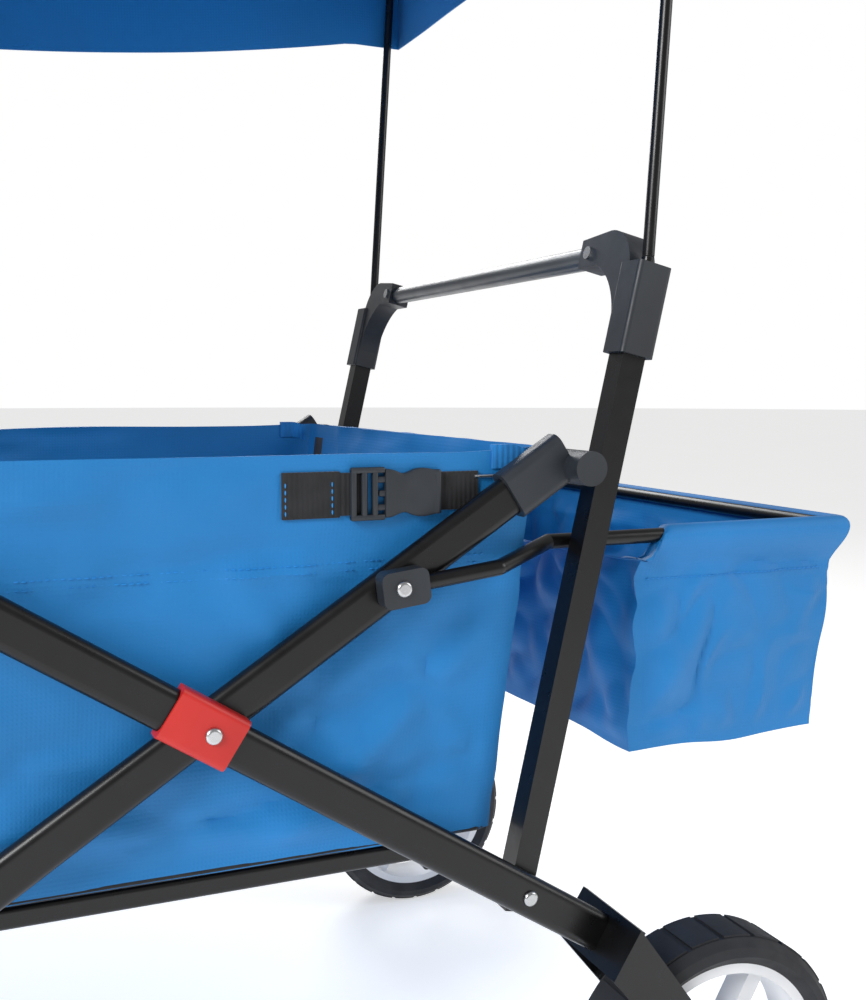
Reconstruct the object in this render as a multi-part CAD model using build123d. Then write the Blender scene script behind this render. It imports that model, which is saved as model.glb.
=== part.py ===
from build123d import *
from math import atan2, cos, degrees, hypot, radians, sin, tan, asin
import os

# Folding beach cart: scissor frame, fabric tub, push handle with rear basket, canopy, casters and a pull handle.
#
# Millimetres. +X points to the push-handle end, +Z up; the origin is at the bottom centre of the cart's box.
# The near or "left" side is -Y. Side-view places are (x, z), with x measured from the rear scissor crossing.

# ---- scissor frame
BAY = 477.0                 # from the rear crossing to the front crossing
REST_ANGLE = 33.0           # slope of the tubes with the cart open
CROSS_HEIGHT = 380.0        # height of both crossings
TUBE_HIGH = 26.0            # flat oval frame tube
TUBE_THICK = 12.0
TUBE_WALL = 1.5
INNER_Y = 260.0             # centre plane of the inner tubes
LAYER_GAP = 1.0             # washer gap between the inner and outer tubes
CROSS_BAR_D = 14.0
CLIP_LENGTH = 44.0
CLIP_SHIFT = -6.0           # the clip reaches further up the tube than down it
CLIP_HIGH = 32.0
CLIP_WALL = 2.2
RIVET_D = 6.0
RIVET_HEAD_D = 10.0
RIVET_HEAD_HIGH = 2.6
FIT = 0.05                  # radial clearance of a pin in its hole
SEAT = 0.3                  # gap between pieces of different bodies that nearly touch

# ---- elbows and end bars
STUB_D = 22.0
TUBE_SHORT = 22.0           # a brace stops this far short of the elbow's corner
STUB_DROP = 12.0            # the stub lies this far under the tube's own line
STUB_OUT = 285.0            # how far out the stub's flat end stands
SLEEVE_WALL = 3.0
SLEEVE_LENGTH = 46.0
END_BAR_D = 15.0

# ---- wheels
WHEEL_R = 101.0
TYRE_WIDE = 52.0
RIM_R = 82.0
RIM_WIDE = 44.0
HUB_R = 15.0
AXLE_D = 10.0
SPOKES = 6
TREAD_GROOVES = 24
GROOVE_WIDE = 4.0
GROOVE_DEEP = 3.0
REAR_WHEEL_X = 342.0
REAR_WHEEL_Y = 274.0
CASTER_TRAIL = 30.0
LEG_REACH = 304.0           # from the crossing down to the end of a leg
LUG_LONG = 26.0             # plug of the caster's barrel inside the front leg
LUG_FIT = 0.3
FORK_PLATE = 4.0
FORK_WIDE = 36.0
FORK_SIDE_GAP = 6.0
STEM_D = 12.0
HOUSING_D = 30.0
HOUSING_HIGH = 42.0
CROWN_GAP = 3.0             # from the tyre to the caster's crown plate

# ---- push handle
HANDLE_TUBE = 17.0
HANDLE_WALL = 1.5
HANDLE_PIVOT_REACH = 240.0  # along the rear leg from the crossing
HANDLE_BEHIND = 5.0         # gap between the stub and the handle that stands behind it
HANDLE_BAR_HEIGHT = 664.0
HANDLE_BAR_D = 16.0
SOCKET_WALL = 4.0
SOCKET_LENGTH = 60.0
SOCKET_DROP = 12.0          # the socket's top lies this far under the bar's centre
CORNER_REACH = 60.0         # how far the curved corner runs inward to the bar
POLE_D = 8.0
STUD_PROUD = 5.0
POLE_INSERT = 30.0

# ---- rear basket
ARM_D = 10.0
ARM_PIVOT_REACH = 137.0
ARM_Y = 239.5
ARM_HEIGHT = 472.0
ARM_END_X = 474.0
ARM_STEP_AT = 66.0          # where the arm starts to step in, past its pivot
ARM_STEP_LONG = 52.0
ARM_FIRST_RISE = 8.0
ARM_CAP_LONG = 30.0
ARM_CAP_HIGH = 22.0
ARM_CAP_CORNER = 5.0
BASKET_FRONT_X = 285.0
BASKET_BOTTOM = 316.0
BASKET_TOP = 479.0
CLOTH = 3.0                 # thickness of the plain soft solids

# ---- tub
TUB_TOP_X = 222.0           # rear edge of the tub at its top and bottom, from the rear crossing
TUB_BOTTOM_X = 190.0
TUB_BOTTOM = 285.0
TUB_TOP = 535.0
TUB_HALF_WIDE = 244.0
PAD_THICK = 7.0
PAD_PANELS = 4
RAIL_PIN_X = 135.0
RAIL_HIGH = 13.0
RAIL_THICK = 6.0

# ---- canopy
CANOPY_BOTTOM = 926.0
VALANCE = 88.0
CANOPY_REAR_X = 327.0
CANOPY_FRONT_X = 298.0      # beyond the front crossing
CANOPY_HALF_WIDE = 268.0
POLE_LEAN = 3.5
FRONT_POLE_Y = 231.0
FRONT_POLE_DROP = 22.0      # how far the pole's foot reaches under the front bar
CRADLE_WALL = 2.0
CRADLE_WIDE = 16.0
CRADLE_HIGH = 30.0

# ---- pull handle
PULL_TUBE = 18.0
PULL_INNER = 14.0
PULL_LOWER = 400.0
PULL_UPPER = 190.0
PULL_SHOWN = 120.0
PULL_LEAN = 4.0
PULL_AHEAD = 42.0           # hinge ahead of the front bottom bar
GRIP_D = 22.0
GRIP_WIDE = 120.0
GRIP_HIGH = 70.0

# ---- strap
WEB_WIDE = 28.0
WEB_THICK = 2.0
STRAP_DROP = 26.0
BUCKLE_X = 132.0            # middle of the buckle body, from the rear crossing
BUCKLE_LONG = 36.0
BUCKLE_HIGH = 30.0
BUCKLE_THICK = 5.0
LADDER_X = 101.0            # middle of the ladder the webbing threads through
LADDER_LONG = 18.0
LADDER_SLOT = 4.0

# ---- worked-out places
OUTER_Y = INNER_Y + TUBE_THICK + LAYER_GAP
REACH = BAY / 2 / cos(radians(REST_ANGLE))
SLOPE = tan(radians(REST_ANGLE))
MIDDLE_RISE = BAY / 2 * SLOPE
STUB_X = BAY / 2
RAIL_Z = TUB_BOTTOM - SEAT - CROSS_BAR_D / 2
STUB_Z = CROSS_HEIGHT + MIDDLE_RISE - STUB_DROP
CASTER_CROWN_Z = 2 * WHEEL_R + CROWN_GAP
HOUSING_FOOT_Z = CASTER_CROWN_Z + FORK_PLATE + SEAT
FRONT_REACH = (CROSS_HEIGHT - HOUSING_FOOT_Z - HOUSING_HIGH / 2) / sin(radians(REST_ANGLE))
CASTER_X = FRONT_REACH * cos(radians(REST_ANGLE)) + HOUSING_D / 2 - 2.0
CASTER_Y = INNER_Y
PULL_X = CASTER_X + PULL_AHEAD
FRONT_POLE_X = STUB_X + END_BAR_D / 2 + CRADLE_WALL + SEAT + POLE_D / 2
FRONT_POLE_FOOT = STUB_Z - FRONT_POLE_DROP
REAR_END = ARM_END_X + ARM_D / 2
FRONT_END = BAY + CASTER_X - CASTER_TRAIL + WHEEL_R
X_SHIFT = (FRONT_END - REAR_END) / 2
PIVOT_X = HANDLE_PIVOT_REACH * cos(radians(REST_ANGLE))
PIVOT_Z = CROSS_HEIGHT - HANDLE_PIVOT_REACH * sin(radians(REST_ANGLE))
HANDLE_Y = OUTER_Y - TUBE_THICK / 2 - LAYER_GAP / 2 - HANDLE_TUBE / 2
HANDLE_OFF = (STUB_D + HANDLE_TUBE) / 2 + HANDLE_BEHIND
HANDLE_LEAN = degrees(atan2(STUB_X - PIVOT_X, STUB_Z - PIVOT_Z)
                      + asin(HANDLE_OFF / hypot(STUB_X - PIVOT_X, STUB_Z - PIVOT_Z)))
BAR_ALONG = (HANDLE_BAR_HEIGHT - PIVOT_Z) / cos(radians(HANDLE_LEAN))
SOCKET_TOP = BAR_ALONG - SOCKET_DROP
ARM_PIVOT_X = ARM_PIVOT_REACH * cos(radians(REST_ANGLE))
ARM_PIVOT_Z = CROSS_HEIGHT + ARM_PIVOT_REACH * sin(radians(REST_ANGLE))
ARM_OUT_Y = INNER_Y + TUBE_THICK / 2 + LAYER_GAP + ARM_D / 2
CENTRE = Align.CENTER
SIDES = (("left", -1), ("right", 1))
UP = (CENTRE, CENTRE, Align.MIN)

os.makedirs("parts", exist_ok=True)


def save(name, *solids):
    """Write one node from one or more separate solids."""
    shape = solids[0] if len(solids) == 1 else Compound(children=list(solids))
    export_step(shape, f"parts/{name}.step")


def at(x, y, z):
    """A row-frame point from a place measured from the rear crossing."""
    return Vector(x + X_SHIFT, y, z)


def along(start, end, section):
    """Extrude a sketch whose local x is +Y from one point to another in a side plane."""
    way = end - start
    return extrude(Plane(origin=start, x_dir=(0, 1, 0), z_dir=way.normalized()) * section, way.length)


def rod(start, end, radius):
    """A round bar between two points."""
    way = end - start
    return Plane(origin=start, z_dir=way.normalized()) * Cylinder(radius, way.length, align=UP)


def bore(x, z, y, radius, length=60.0):
    """A cutter across the cart."""
    return rod(at(x, y - length / 2, z), at(x, y + length / 2, z), radius)


def oval_tube(start, end):
    """Flat oval frame tube, open at its ends."""
    outer = SlotOverall(TUBE_HIGH, TUBE_THICK, rotation=90)
    inner = SlotOverall(TUBE_HIGH - 2 * TUBE_WALL, TUBE_THICK - 2 * TUBE_WALL, rotation=90)
    return along(start, end, outer - inner)


def rivet(x, z, side, y_in, y_out):
    """Rivet with a domed head outside and a flat head inside."""
    shank = rod(at(x, side * y_in, z), at(x, side * y_out, z), RIVET_D / 2)
    dome = rod(at(x, side * y_out, z), at(x, side * (y_out + RIVET_HEAD_HIGH), z), RIVET_HEAD_D / 2)
    outer_edge = dome.edges().group_by(Axis.Y)[-1 if side > 0 else 0]
    dome = fillet(outer_edge, RIVET_HEAD_HIGH * 0.8)
    tail = rod(at(x, side * (y_in - 1.5), z), at(x, side * y_in, z), RIVET_HEAD_D / 2)
    return shank + dome + tail


def tube_point(cross_x, reach, slope_sign, y):
    """A point on a scissor tube, `reach` from its crossing towards +X."""
    return at(cross_x + reach * cos(radians(REST_ANGLE)), y,
              CROSS_HEIGHT + slope_sign * reach * sin(radians(REST_ANGLE)))


def scissor_tube(cross_x, low, high, slope_sign, side, y, holes):
    """One scissor tube with its rivet holes, from `low` to `high` along its line."""
    tube = oval_tube(tube_point(cross_x, low, slope_sign, side * y),
                     tube_point(cross_x, high, slope_sign, side * y))
    for reach in holes:
        spot = tube_point(cross_x, reach, slope_sign, side * y)
        tube -= rod(spot - Vector(0, 30, 0), spot + Vector(0, 30, 0), RIVET_D / 2 + FIT)
    return tube


def clip(cross_x, slope_sign, side):
    """Plastic clip that wraps the outer tube at a crossing."""
    low, high = CLIP_SHIFT - CLIP_LENGTH / 2, CLIP_SHIFT + CLIP_LENGTH / 2
    ends = [tube_point(cross_x, r, slope_sign, side * OUTER_Y) for r in (low, high)]
    block = along(*ends, RectangleRounded(TUBE_THICK + 2 * CLIP_WALL, CLIP_HIGH, 4))
    ends = [tube_point(cross_x, r, slope_sign, side * OUTER_Y) for r in (low - 1, high + 1)]
    block -= along(*ends, SlotOverall(TUBE_HIGH + 2 * FIT, TUBE_THICK + 2 * FIT, rotation=90))
    inner_face = side * (OUTER_Y - TUBE_THICK / 2 - LAYER_GAP / 2 + SEAT)
    keep = Box(400, 60, 400, align=(CENTRE, Align.MIN if side > 0 else Align.MAX, CENTRE))
    block &= Location(at(cross_x, inner_face, CROSS_HEIGHT)) * keep
    return block - bore(cross_x, CROSS_HEIGHT, side * OUTER_Y, RIVET_D / 2 + FIT)


def elbow(sign, cross_x, side, layer_y):
    """Plastic elbow: a sleeve over the tube's top end that bends out into a round stub."""
    direction = Vector(sign * cos(radians(REST_ANGLE)), 0, sin(radians(REST_ANGLE)))
    tip = at(cross_x + sign * STUB_X, side * layer_y, CROSS_HEIGHT + MIDDLE_RISE)
    start = tip - direction * (SLEEVE_LENGTH + 8)
    sleeve = along(start, tip - direction * 8,
                   RectangleRounded(TUBE_THICK + 2 * SLEEVE_WALL, TUBE_HIGH + 2 * SLEEVE_WALL, 6))
    inner_edge = layer_y - TUBE_THICK / 2 - SLEEVE_WALL
    stub = rod(at(cross_x + sign * STUB_X, side * inner_edge, STUB_Z),
               at(cross_x + sign * STUB_X, side * STUB_OUT, STUB_Z), STUB_D / 2)
    body = sleeve + stub
    body -= along(start - direction, tip - direction * TUBE_SHORT,
                  SlotOverall(TUBE_HIGH + 2 * FIT, TUBE_THICK + 2 * FIT, rotation=90))
    seat = at(cross_x + sign * STUB_X, side * (inner_edge - 1), STUB_Z)
    return body - rod(seat, seat + Vector(0, side * 9, 0), END_BAR_D / 2 + FIT)


def end_bar(sign, cross_x, layer_y):
    """Bar across the cart between two elbows; the tub's top hem hangs on it."""
    half = layer_y - TUBE_THICK / 2 - SLEEVE_WALL + 8
    return rod(at(cross_x + sign * STUB_X, -half, STUB_Z), at(cross_x + sign * STUB_X, half, STUB_Z),
               END_BAR_D / 2)


def tyre(x, y, z):
    """Tyre with a crowned tread and chevron lugs."""
    half = TYRE_WIDE / 2
    outline = make_face(Polyline((RIM_R, -half + 6), (RIM_R + 7, -half), (WHEEL_R - 6, -half + 2),
                                 (WHEEL_R - 1.5, -half + 8), (WHEEL_R - 1.5, half - 8),
                                 (WHEEL_R - 6, half - 2), (RIM_R + 7, half), (RIM_R, half - 6),
                                 close=True))
    ring = revolve(Plane.XZ * outline, Axis.Z)
    tread = Cylinder(WHEEL_R, TYRE_WIDE - 18) - Cylinder(WHEEL_R - GROOVE_DEEP, TYRE_WIDE - 18)
    groove = Box(4 * GROOVE_DEEP, GROOVE_WIDE, TYRE_WIDE)
    for k in range(TREAD_GROOVES):
        tread -= Rot(0, 0, 360 / TREAD_GROOVES * k) * Pos(WHEEL_R, 0, 0) * groove
    ring += tread
    return Location(at(x, y, z), (90, 0, 0)) * ring


def rim(x, y, z):
    """Moulded rim with spokes and a bored hub."""
    ring = Cylinder(RIM_R - FIT, RIM_WIDE - 4) - Cylinder(RIM_R - 7, RIM_WIDE - 4)
    hub = Cylinder(HUB_R, RIM_WIDE)
    spoke = Pos((HUB_R + RIM_R - 7) / 2, 0, 0) * Box(RIM_R - 5 - HUB_R + 4, 12, 18)
    for k in range(SPOKES):
        ring += Rot(0, 0, 360 / SPOKES * k) * spoke
    wheel = ring + hub - Cylinder(AXLE_D / 2 + FIT, 2 * RIM_WIDE)
    return Location(at(x, y, z), (90, 0, 0)) * wheel


def axle(x, y, z):
    """Axle bolt with a head and a nut, across one fork."""
    half = TYRE_WIDE / 2 + FORK_SIDE_GAP + FORK_PLATE
    bolt = Cylinder(AXLE_D / 2, 2 * half)
    for end in (-1, 1):
        bolt += Pos(0, 0, end * (half + 2.5)) * extrude(RegularPolygon(AXLE_D * 0.8, 6), 2.5, both=True)
    return Location(at(x, y, z), (90, 0, 0)) * bolt


def rear_fork(side):
    """Fork welded square across the lower end of a rear leg."""
    end = tube_point(0, LEG_REACH, -1, side * REAR_WHEEL_Y)
    way = Vector(cos(radians(REST_ANGLE)), 0, -sin(radians(REST_ANGLE)))
    half = TYRE_WIDE / 2 + FORK_SIDE_GAP + FORK_PLATE
    fork = along(end, end + way * FORK_PLATE, Rectangle(2 * half, FORK_WIDE))
    hub = at(REAR_WHEEL_X, side * REAR_WHEEL_Y, WHEEL_R)
    for edge in (-1, 1):
        y = side * REAR_WHEEL_Y + edge * (half - FORK_PLATE / 2)
        top = Vector(end.X, y, end.Z)
        up = Vector(sin(radians(REST_ANGLE)), 0, cos(radians(REST_ANGLE))) * (FORK_WIDE / 2)
        low = Vector(hub.X, y, hub.Z)
        down_way = (low - top).normalized()
        across = Vector(down_way.Z, 0, -down_way.X) * 13
        corners = [top + up, low - across + down_way * 6, low + down_way * 16, low + across + down_way * 6,
                   top - up]
        face = make_face(Polyline(*[(c.X, y, c.Z) for c in corners], close=True))
        arm = extrude(face, FORK_PLATE / 2, dir=(0, 1, 0), both=True)
        fork += arm
    return fork - rod(hub - Vector(0, 60, 0), hub + Vector(0, 60, 0), AXLE_D / 2 + FIT)


def caster_fork(side):
    """Swivelling fork with its stem."""
    half = TYRE_WIDE / 2 + FORK_SIDE_GAP + FORK_PLATE
    pivot_x = -BAY - CASTER_X
    hub = at(pivot_x + CASTER_TRAIL, side * CASTER_Y, WHEEL_R)
    top = at(pivot_x, side * CASTER_Y, CASTER_CROWN_Z)
    fork = Location(top) * Pos(CASTER_TRAIL / 4, 0, 0) * Box(44, 2 * half, FORK_PLATE, align=UP)
    for edge in (-1, 1):
        y = side * CASTER_Y + edge * (half - FORK_PLATE / 2)
        x0 = top.X + CASTER_TRAIL / 4
        points = [(x0 - 22, y, top.Z + FORK_PLATE), (hub.X - 14, y, hub.Z), (hub.X, y, hub.Z - 15),
                  (hub.X + 14, y, hub.Z), (x0 + 22, y, top.Z + FORK_PLATE)]
        fork += extrude(make_face(Polyline(*points, close=True)), FORK_PLATE / 2, dir=(0, 1, 0), both=True)
    stem_top = HOUSING_FOOT_Z + HOUSING_HIGH + 3
    fork += rod(top, Vector(top.X, top.Y, stem_top), STEM_D / 2)
    return fork - rod(hub - Vector(0, 60, 0), hub + Vector(0, 60, 0), AXLE_D / 2 + FIT)


def caster_housing(side):
    """Upright barrel on the front leg's lower end that the caster's stem turns in."""
    foot = at(-BAY - CASTER_X, side * CASTER_Y, HOUSING_FOOT_Z)
    barrel = Location(foot) * Cylinder(HOUSING_D / 2, HOUSING_HIGH, align=UP)
    lug = SlotOverall(TUBE_HIGH - 2 * TUBE_WALL - LUG_FIT, TUBE_THICK - 2 * TUBE_WALL - LUG_FIT, rotation=90)
    barrel += along(tube_point(-BAY, -FRONT_REACH, 1, side * CASTER_Y),
                    tube_point(-BAY, -FRONT_REACH + TUBE_HIGH / 2 + LUG_LONG, 1, side * CASTER_Y), lug)
    barrel -= Location(foot) * Cylinder(STEM_D / 2 + FIT, 2 * HOUSING_HIGH)
    return barrel


# ---- handle parts are drawn upright about the pivot, then leaned back
HANDLE_FRAME = Location(at(PIVOT_X, 0, PIVOT_Z), (0, HANDLE_LEAN, 0))
socket_half = HANDLE_TUBE / 2 + SOCKET_WALL


def handle_tube(side):
    top = SOCKET_TOP - POLE_INSERT - 6
    solid = Pos(0, side * HANDLE_Y, -14) * Box(HANDLE_TUBE, HANDLE_TUBE, top + 14, align=UP)
    hollow = HANDLE_TUBE - 2 * HANDLE_WALL
    solid -= Pos(0, side * HANDLE_Y, -15) * Box(hollow, hollow, top + 16, align=UP)
    solid -= Pos(0, side * HANDLE_Y, 0) * Rot(90, 0, 0) * Cylinder(RIVET_D / 2 + FIT, 60)
    return HANDLE_FRAME * solid


def handle_corner(side):
    """Box socket outside, with a curved arm that runs up and in to the bar."""
    inner_y = HANDLE_Y - socket_half
    box = Pos(0, side * HANDLE_Y, SOCKET_TOP - SOCKET_LENGTH) * Box(
        2 * socket_half, 2 * socket_half, SOCKET_LENGTH, align=UP)
    box = fillet(box.edges().filter_by(Axis.Z), 3)
    bar_end = inner_y - CORNER_REACH
    rise = BAR_ALONG + HANDLE_BAR_D / 2 + 2
    low = BAR_ALONG - HANDLE_BAR_D / 2 - 2
    outline = make_face(Curve() + [
        Line((bar_end, rise), (inner_y - 24, rise + 3)),
        ThreePointArc((inner_y - 24, rise + 3), (inner_y - 5, rise - 3), (inner_y + 8, SOCKET_TOP - 3)),
        Line((inner_y + 8, SOCKET_TOP - 3), (inner_y + 8, SOCKET_TOP - SOCKET_LENGTH + 8)),
        Line((inner_y + 8, SOCKET_TOP - SOCKET_LENGTH + 8), (inner_y, SOCKET_TOP - SOCKET_LENGTH + 8)),
        ThreePointArc((inner_y, SOCKET_TOP - SOCKET_LENGTH + 8), (inner_y - 12, low - 16), (inner_y - 34, low)),
        Line((inner_y - 34, low), (bar_end, low)),
        Line((bar_end, low), (bar_end, rise)),
    ])
    arm = extrude(Plane.YZ * outline, 10, both=True)
    if side < 0:
        arm = mirror(arm, Plane.XZ)
    corner = box + arm
    tube_top = SOCKET_TOP - POLE_INSERT - 6
    corner -= Pos(0, side * HANDLE_Y, 0) * Box(HANDLE_TUBE + 2 * FIT, HANDLE_TUBE + 2 * FIT, tube_top, align=UP)
    corner -= Pos(0, side * HANDLE_Y, SOCKET_TOP - POLE_INSERT) * Cylinder(POLE_D / 2 + FIT, 60, align=UP)
    seat = Pos(0, side * (bar_end + 11), BAR_ALONG) * Rot(90, 0, 0) * Cylinder(HANDLE_BAR_D / 2 + FIT, 24)
    corner -= seat
    corner -= Pos(0, side * (bar_end + 11), BAR_ALONG) * Rot(0, -90, 0) * Cylinder(2 + FIT, 12, align=UP)
    return HANDLE_FRAME * corner


def corner_screw(side):
    """Screw through the corner into the bar's end."""
    bar_end = HANDLE_Y - socket_half - CORNER_REACH
    head = Pos(-10, side * (bar_end + 11), BAR_ALONG) * Rot(0, -90, 0) * Cylinder(4.5, 1.6, align=UP)
    shank = Pos(-10, side * (bar_end + 11), BAR_ALONG) * Rot(0, 90, 0) * Cylinder(2, 1.9, align=UP)
    return HANDLE_FRAME * (head + shank)


def handle_bar():
    half = HANDLE_Y - socket_half - CORNER_REACH + 22.5
    return HANDLE_FRAME * Pos(0, 0, BAR_ALONG) * Rot(90, 0, 0) * Cylinder(HANDLE_BAR_D / 2, 2 * half)


def pole_stud(side):
    """Short lowest length of a rear canopy pole, which stays in its socket."""
    return HANDLE_FRAME * Pos(0, side * HANDLE_Y, SOCKET_TOP - POLE_INSERT) * Cylinder(
        POLE_D / 2, POLE_INSERT + STUD_PROUD, align=UP)


def rear_pole(side):
    """Canopy pole that stands on the stud in the handle's corner."""
    stud = HANDLE_FRAME * Pos(0, side * HANDLE_Y, SOCKET_TOP + STUD_PROUD + 1.2)
    foot = stud.position
    height = CANOPY_BOTTOM + VALANCE - CLOTH - SEAT - foot.Z
    top = foot + Vector(height * tan(radians(POLE_LEAN)), 0, height)
    return rod(foot, top - Vector(0, 0, POLE_D / 2 * tan(radians(POLE_LEAN)) + SEAT), POLE_D / 2)


def front_pole(side):
    top = CANOPY_BOTTOM + VALANCE - CLOTH - SEAT
    return rod(at(-BAY - FRONT_POLE_X, side * FRONT_POLE_Y, FRONT_POLE_FOOT),
               at(-BAY - FRONT_POLE_X, side * FRONT_POLE_Y, top), POLE_D / 2)


def pole_cradle(side):
    """Block round the front bar, with a flat face that the front pole stands against."""
    bar = at(-BAY - STUB_X, side * FRONT_POLE_Y, STUB_Z)
    face = at(-BAY - FRONT_POLE_X + POLE_D / 2 + SEAT, side * FRONT_POLE_Y, STUB_Z)
    depth = bar.X + END_BAR_D / 2 + CRADLE_WALL - face.X
    block = Location(face) * Box(depth, CRADLE_WIDE, CRADLE_HIGH, align=(Align.MIN, CENTRE, CENTRE))
    return block - rod(bar - Vector(0, 20, 0), bar + Vector(0, 20, 0), END_BAR_D / 2 + FIT)


def arm_path(side):
    """Corners of a basket arm's centre line, from its pivot to its rear end."""
    step_x = ARM_PIVOT_X + ARM_STEP_AT
    return [at(ARM_PIVOT_X, side * ARM_OUT_Y, ARM_PIVOT_Z),
            at(step_x, side * ARM_OUT_Y, ARM_PIVOT_Z + ARM_FIRST_RISE),
            at(step_x + ARM_STEP_LONG, side * ARM_Y, ARM_HEIGHT), at(ARM_END_X, side * ARM_Y, ARM_HEIGHT)]


def basket_arm(side):
    """Bent tube from its pivot outside the brace, stepping in to run behind the handle."""
    path = arm_path(side)
    arm = rod(path[0], path[1], ARM_D / 2) + rod(path[1], path[2], ARM_D / 2) + rod(path[2], path[3], ARM_D / 2)
    for joint in path[1:3]:
        arm += Location(joint) * Sphere(ARM_D / 2)
    return arm - bore(ARM_PIVOT_X, ARM_PIVOT_Z, side * ARM_OUT_Y, RIVET_D / 2 + FIT)


def arm_cap(side):
    """Plastic cap over the arm's pivot end."""
    slope = Rot(0, -degrees(atan2(ARM_FIRST_RISE, ARM_STEP_AT)), 0)
    block = slope * Box(ARM_CAP_LONG, ARM_D + 2, ARM_CAP_HIGH)
    block = Location(at(ARM_PIVOT_X + 2, side * (ARM_OUT_Y + 1), ARM_PIVOT_Z)) * block
    block = fillet(block.edges().filter_by(Axis.Y), ARM_CAP_CORNER)
    start, end = arm_path(side)[:2]
    block -= rod(start, end, ARM_D / 2 + FIT)
    return block - bore(ARM_PIVOT_X, ARM_PIVOT_Z, side * ARM_OUT_Y, RIVET_D / 2 + FIT)


def open_box(low, high, wall, roof_open=True):
    """Thin-walled box, open at its top or its bottom."""
    size = high - low
    centre = (high + low) * 0.5
    shell = Location(centre) * Box(size.X, size.Y, size.Z)
    lift = wall if roof_open else -wall
    return shell - Location(centre + Vector(0, 0, lift)) * Box(size.X - 2 * wall, size.Y - 2 * wall, size.Z)


def tub():
    """Fabric tub with slanted ends, open at the top."""
    def profile(inset, top):
        x0, x1 = TUB_BOTTOM_X - inset, TUB_TOP_X - inset
        points = [(-BAY - x0, 0, TUB_BOTTOM + inset), (x0, 0, TUB_BOTTOM + inset),
                  (x1, 0, top), (-BAY - x1, 0, top)]
        face = make_face(Polyline(*[(p[0] + X_SHIFT, 0, p[2]) for p in points], close=True))
        return extrude(face, TUB_HALF_WIDE - inset, dir=(0, 1, 0), both=True)
    return profile(0, TUB_TOP) - profile(CLOTH, TUB_TOP + 1)


def floor_pad():
    """Folding floor board in hinged panels."""
    length = 2 * TUB_BOTTOM_X + BAY - 2 * CLOTH - 6
    panel = length / PAD_PANELS
    panels = []
    for k in range(PAD_PANELS):
        x = -BAY / 2 + (k - (PAD_PANELS - 1) / 2) * panel
        spot = at(x, 0, TUB_BOTTOM + CLOTH + SEAT)
        panels.append(Location(spot) * Box(panel - 2, 2 * TUB_HALF_WIDE - 24, PAD_THICK, align=UP))
    return panels


def floor_rail(sign, cross_x, side):
    """Half of a folding floor rail, from its leg's cross bar to the middle of the cart."""
    y = side * (TUB_HALF_WIDE - 2 - (0 if sign > 0 else RAIL_THICK + 1))
    z = RAIL_Z
    start = at(cross_x + sign * (RAIL_PIN_X + 10), y, z)
    end = at(-BAY / 2 - sign * 8, y, z)
    rail = along(start, end, SlotOverall(RAIL_HIGH, RAIL_THICK, rotation=90))
    return rail - bore(cross_x + sign * RAIL_PIN_X, z, y, CROSS_BAR_D / 2 - 4 + FIT)


def rail_bar(sign, cross_x):
    """Cross bar between two legs, with thin journals where the rails turn on it."""
    z = RAIL_Z
    x = cross_x + sign * RAIL_PIN_X
    leg_y = (OUTER_Y if sign > 0 else INNER_Y) - TUBE_THICK / 2
    bar = rod(at(x, -leg_y, z), at(x, leg_y, z), CROSS_BAR_D / 2 - 4)
    inner = TUB_HALF_WIDE - 2 - RAIL_THICK - (0 if sign > 0 else RAIL_THICK + 1)
    return bar + rod(at(x, -inner, z), at(x, inner, z), CROSS_BAR_D / 2)


def strap(side):
    """Webbing that runs from the tub's top hem to the elbow."""
    z = TUB_TOP - STRAP_DROP
    low = at(50, side * (TUB_HALF_WIDE + SEAT), z - WEB_WIDE / 2)
    length, depth = 128, side * WEB_THICK
    return Location(low + Vector(length / 2, depth / 2, WEB_WIDE / 2)) * Box(length, WEB_THICK, WEB_WIDE)


def buckle(side, part):
    """Side-release buckle, lying flat on the webbing."""
    z = TUB_TOP - STRAP_DROP
    y = side * (TUB_HALF_WIDE + 2 * SEAT + WEB_THICK + BUCKLE_THICK / 2)
    if part == "body":
        solid = Location(at(BUCKLE_X, y, z)) * Box(BUCKLE_LONG, BUCKLE_THICK, BUCKLE_HIGH)
        return solid - Location(at(BUCKLE_X - 14, y, z)) * Box(20, 3, BUCKLE_HIGH - 8)
    solid = Location(at(LADDER_X, y, z)) * Box(LADDER_LONG, BUCKLE_THICK, BUCKLE_HIGH + 2)
    solid += Location(at(LADDER_X + 16, y, z)) * Box(LADDER_LONG, 2.6, 20)
    for x in (LADDER_X - 4, LADDER_X + 3):
        solid -= Location(at(x, y, z)) * Box(LADDER_SLOT, 12, 24)
    return solid


def pull_frame():
    return Location(at(-BAY - PULL_X, 0, HOUSING_FOOT_Z + HOUSING_HIGH / 2), (0, PULL_LEAN, 0))


def square_tube(size, wall, low, high):
    solid = Pos(0, 0, low) * Box(size, size, high - low, align=UP)
    return solid - Pos(0, 0, low - 1) * Box(size - 2 * wall, size - 2 * wall, high - low + 2, align=UP)


def pull_lower():
    tube = square_tube(PULL_TUBE, 1.6, -12, PULL_LOWER)
    return pull_frame() * (tube - Rot(90, 0, 0) * Cylinder(4 + FIT, 60))


def pull_upper():
    return pull_frame() * square_tube(PULL_INNER, 1.5, PULL_LOWER - PULL_UPPER, PULL_LOWER + PULL_SHOWN)


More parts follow.
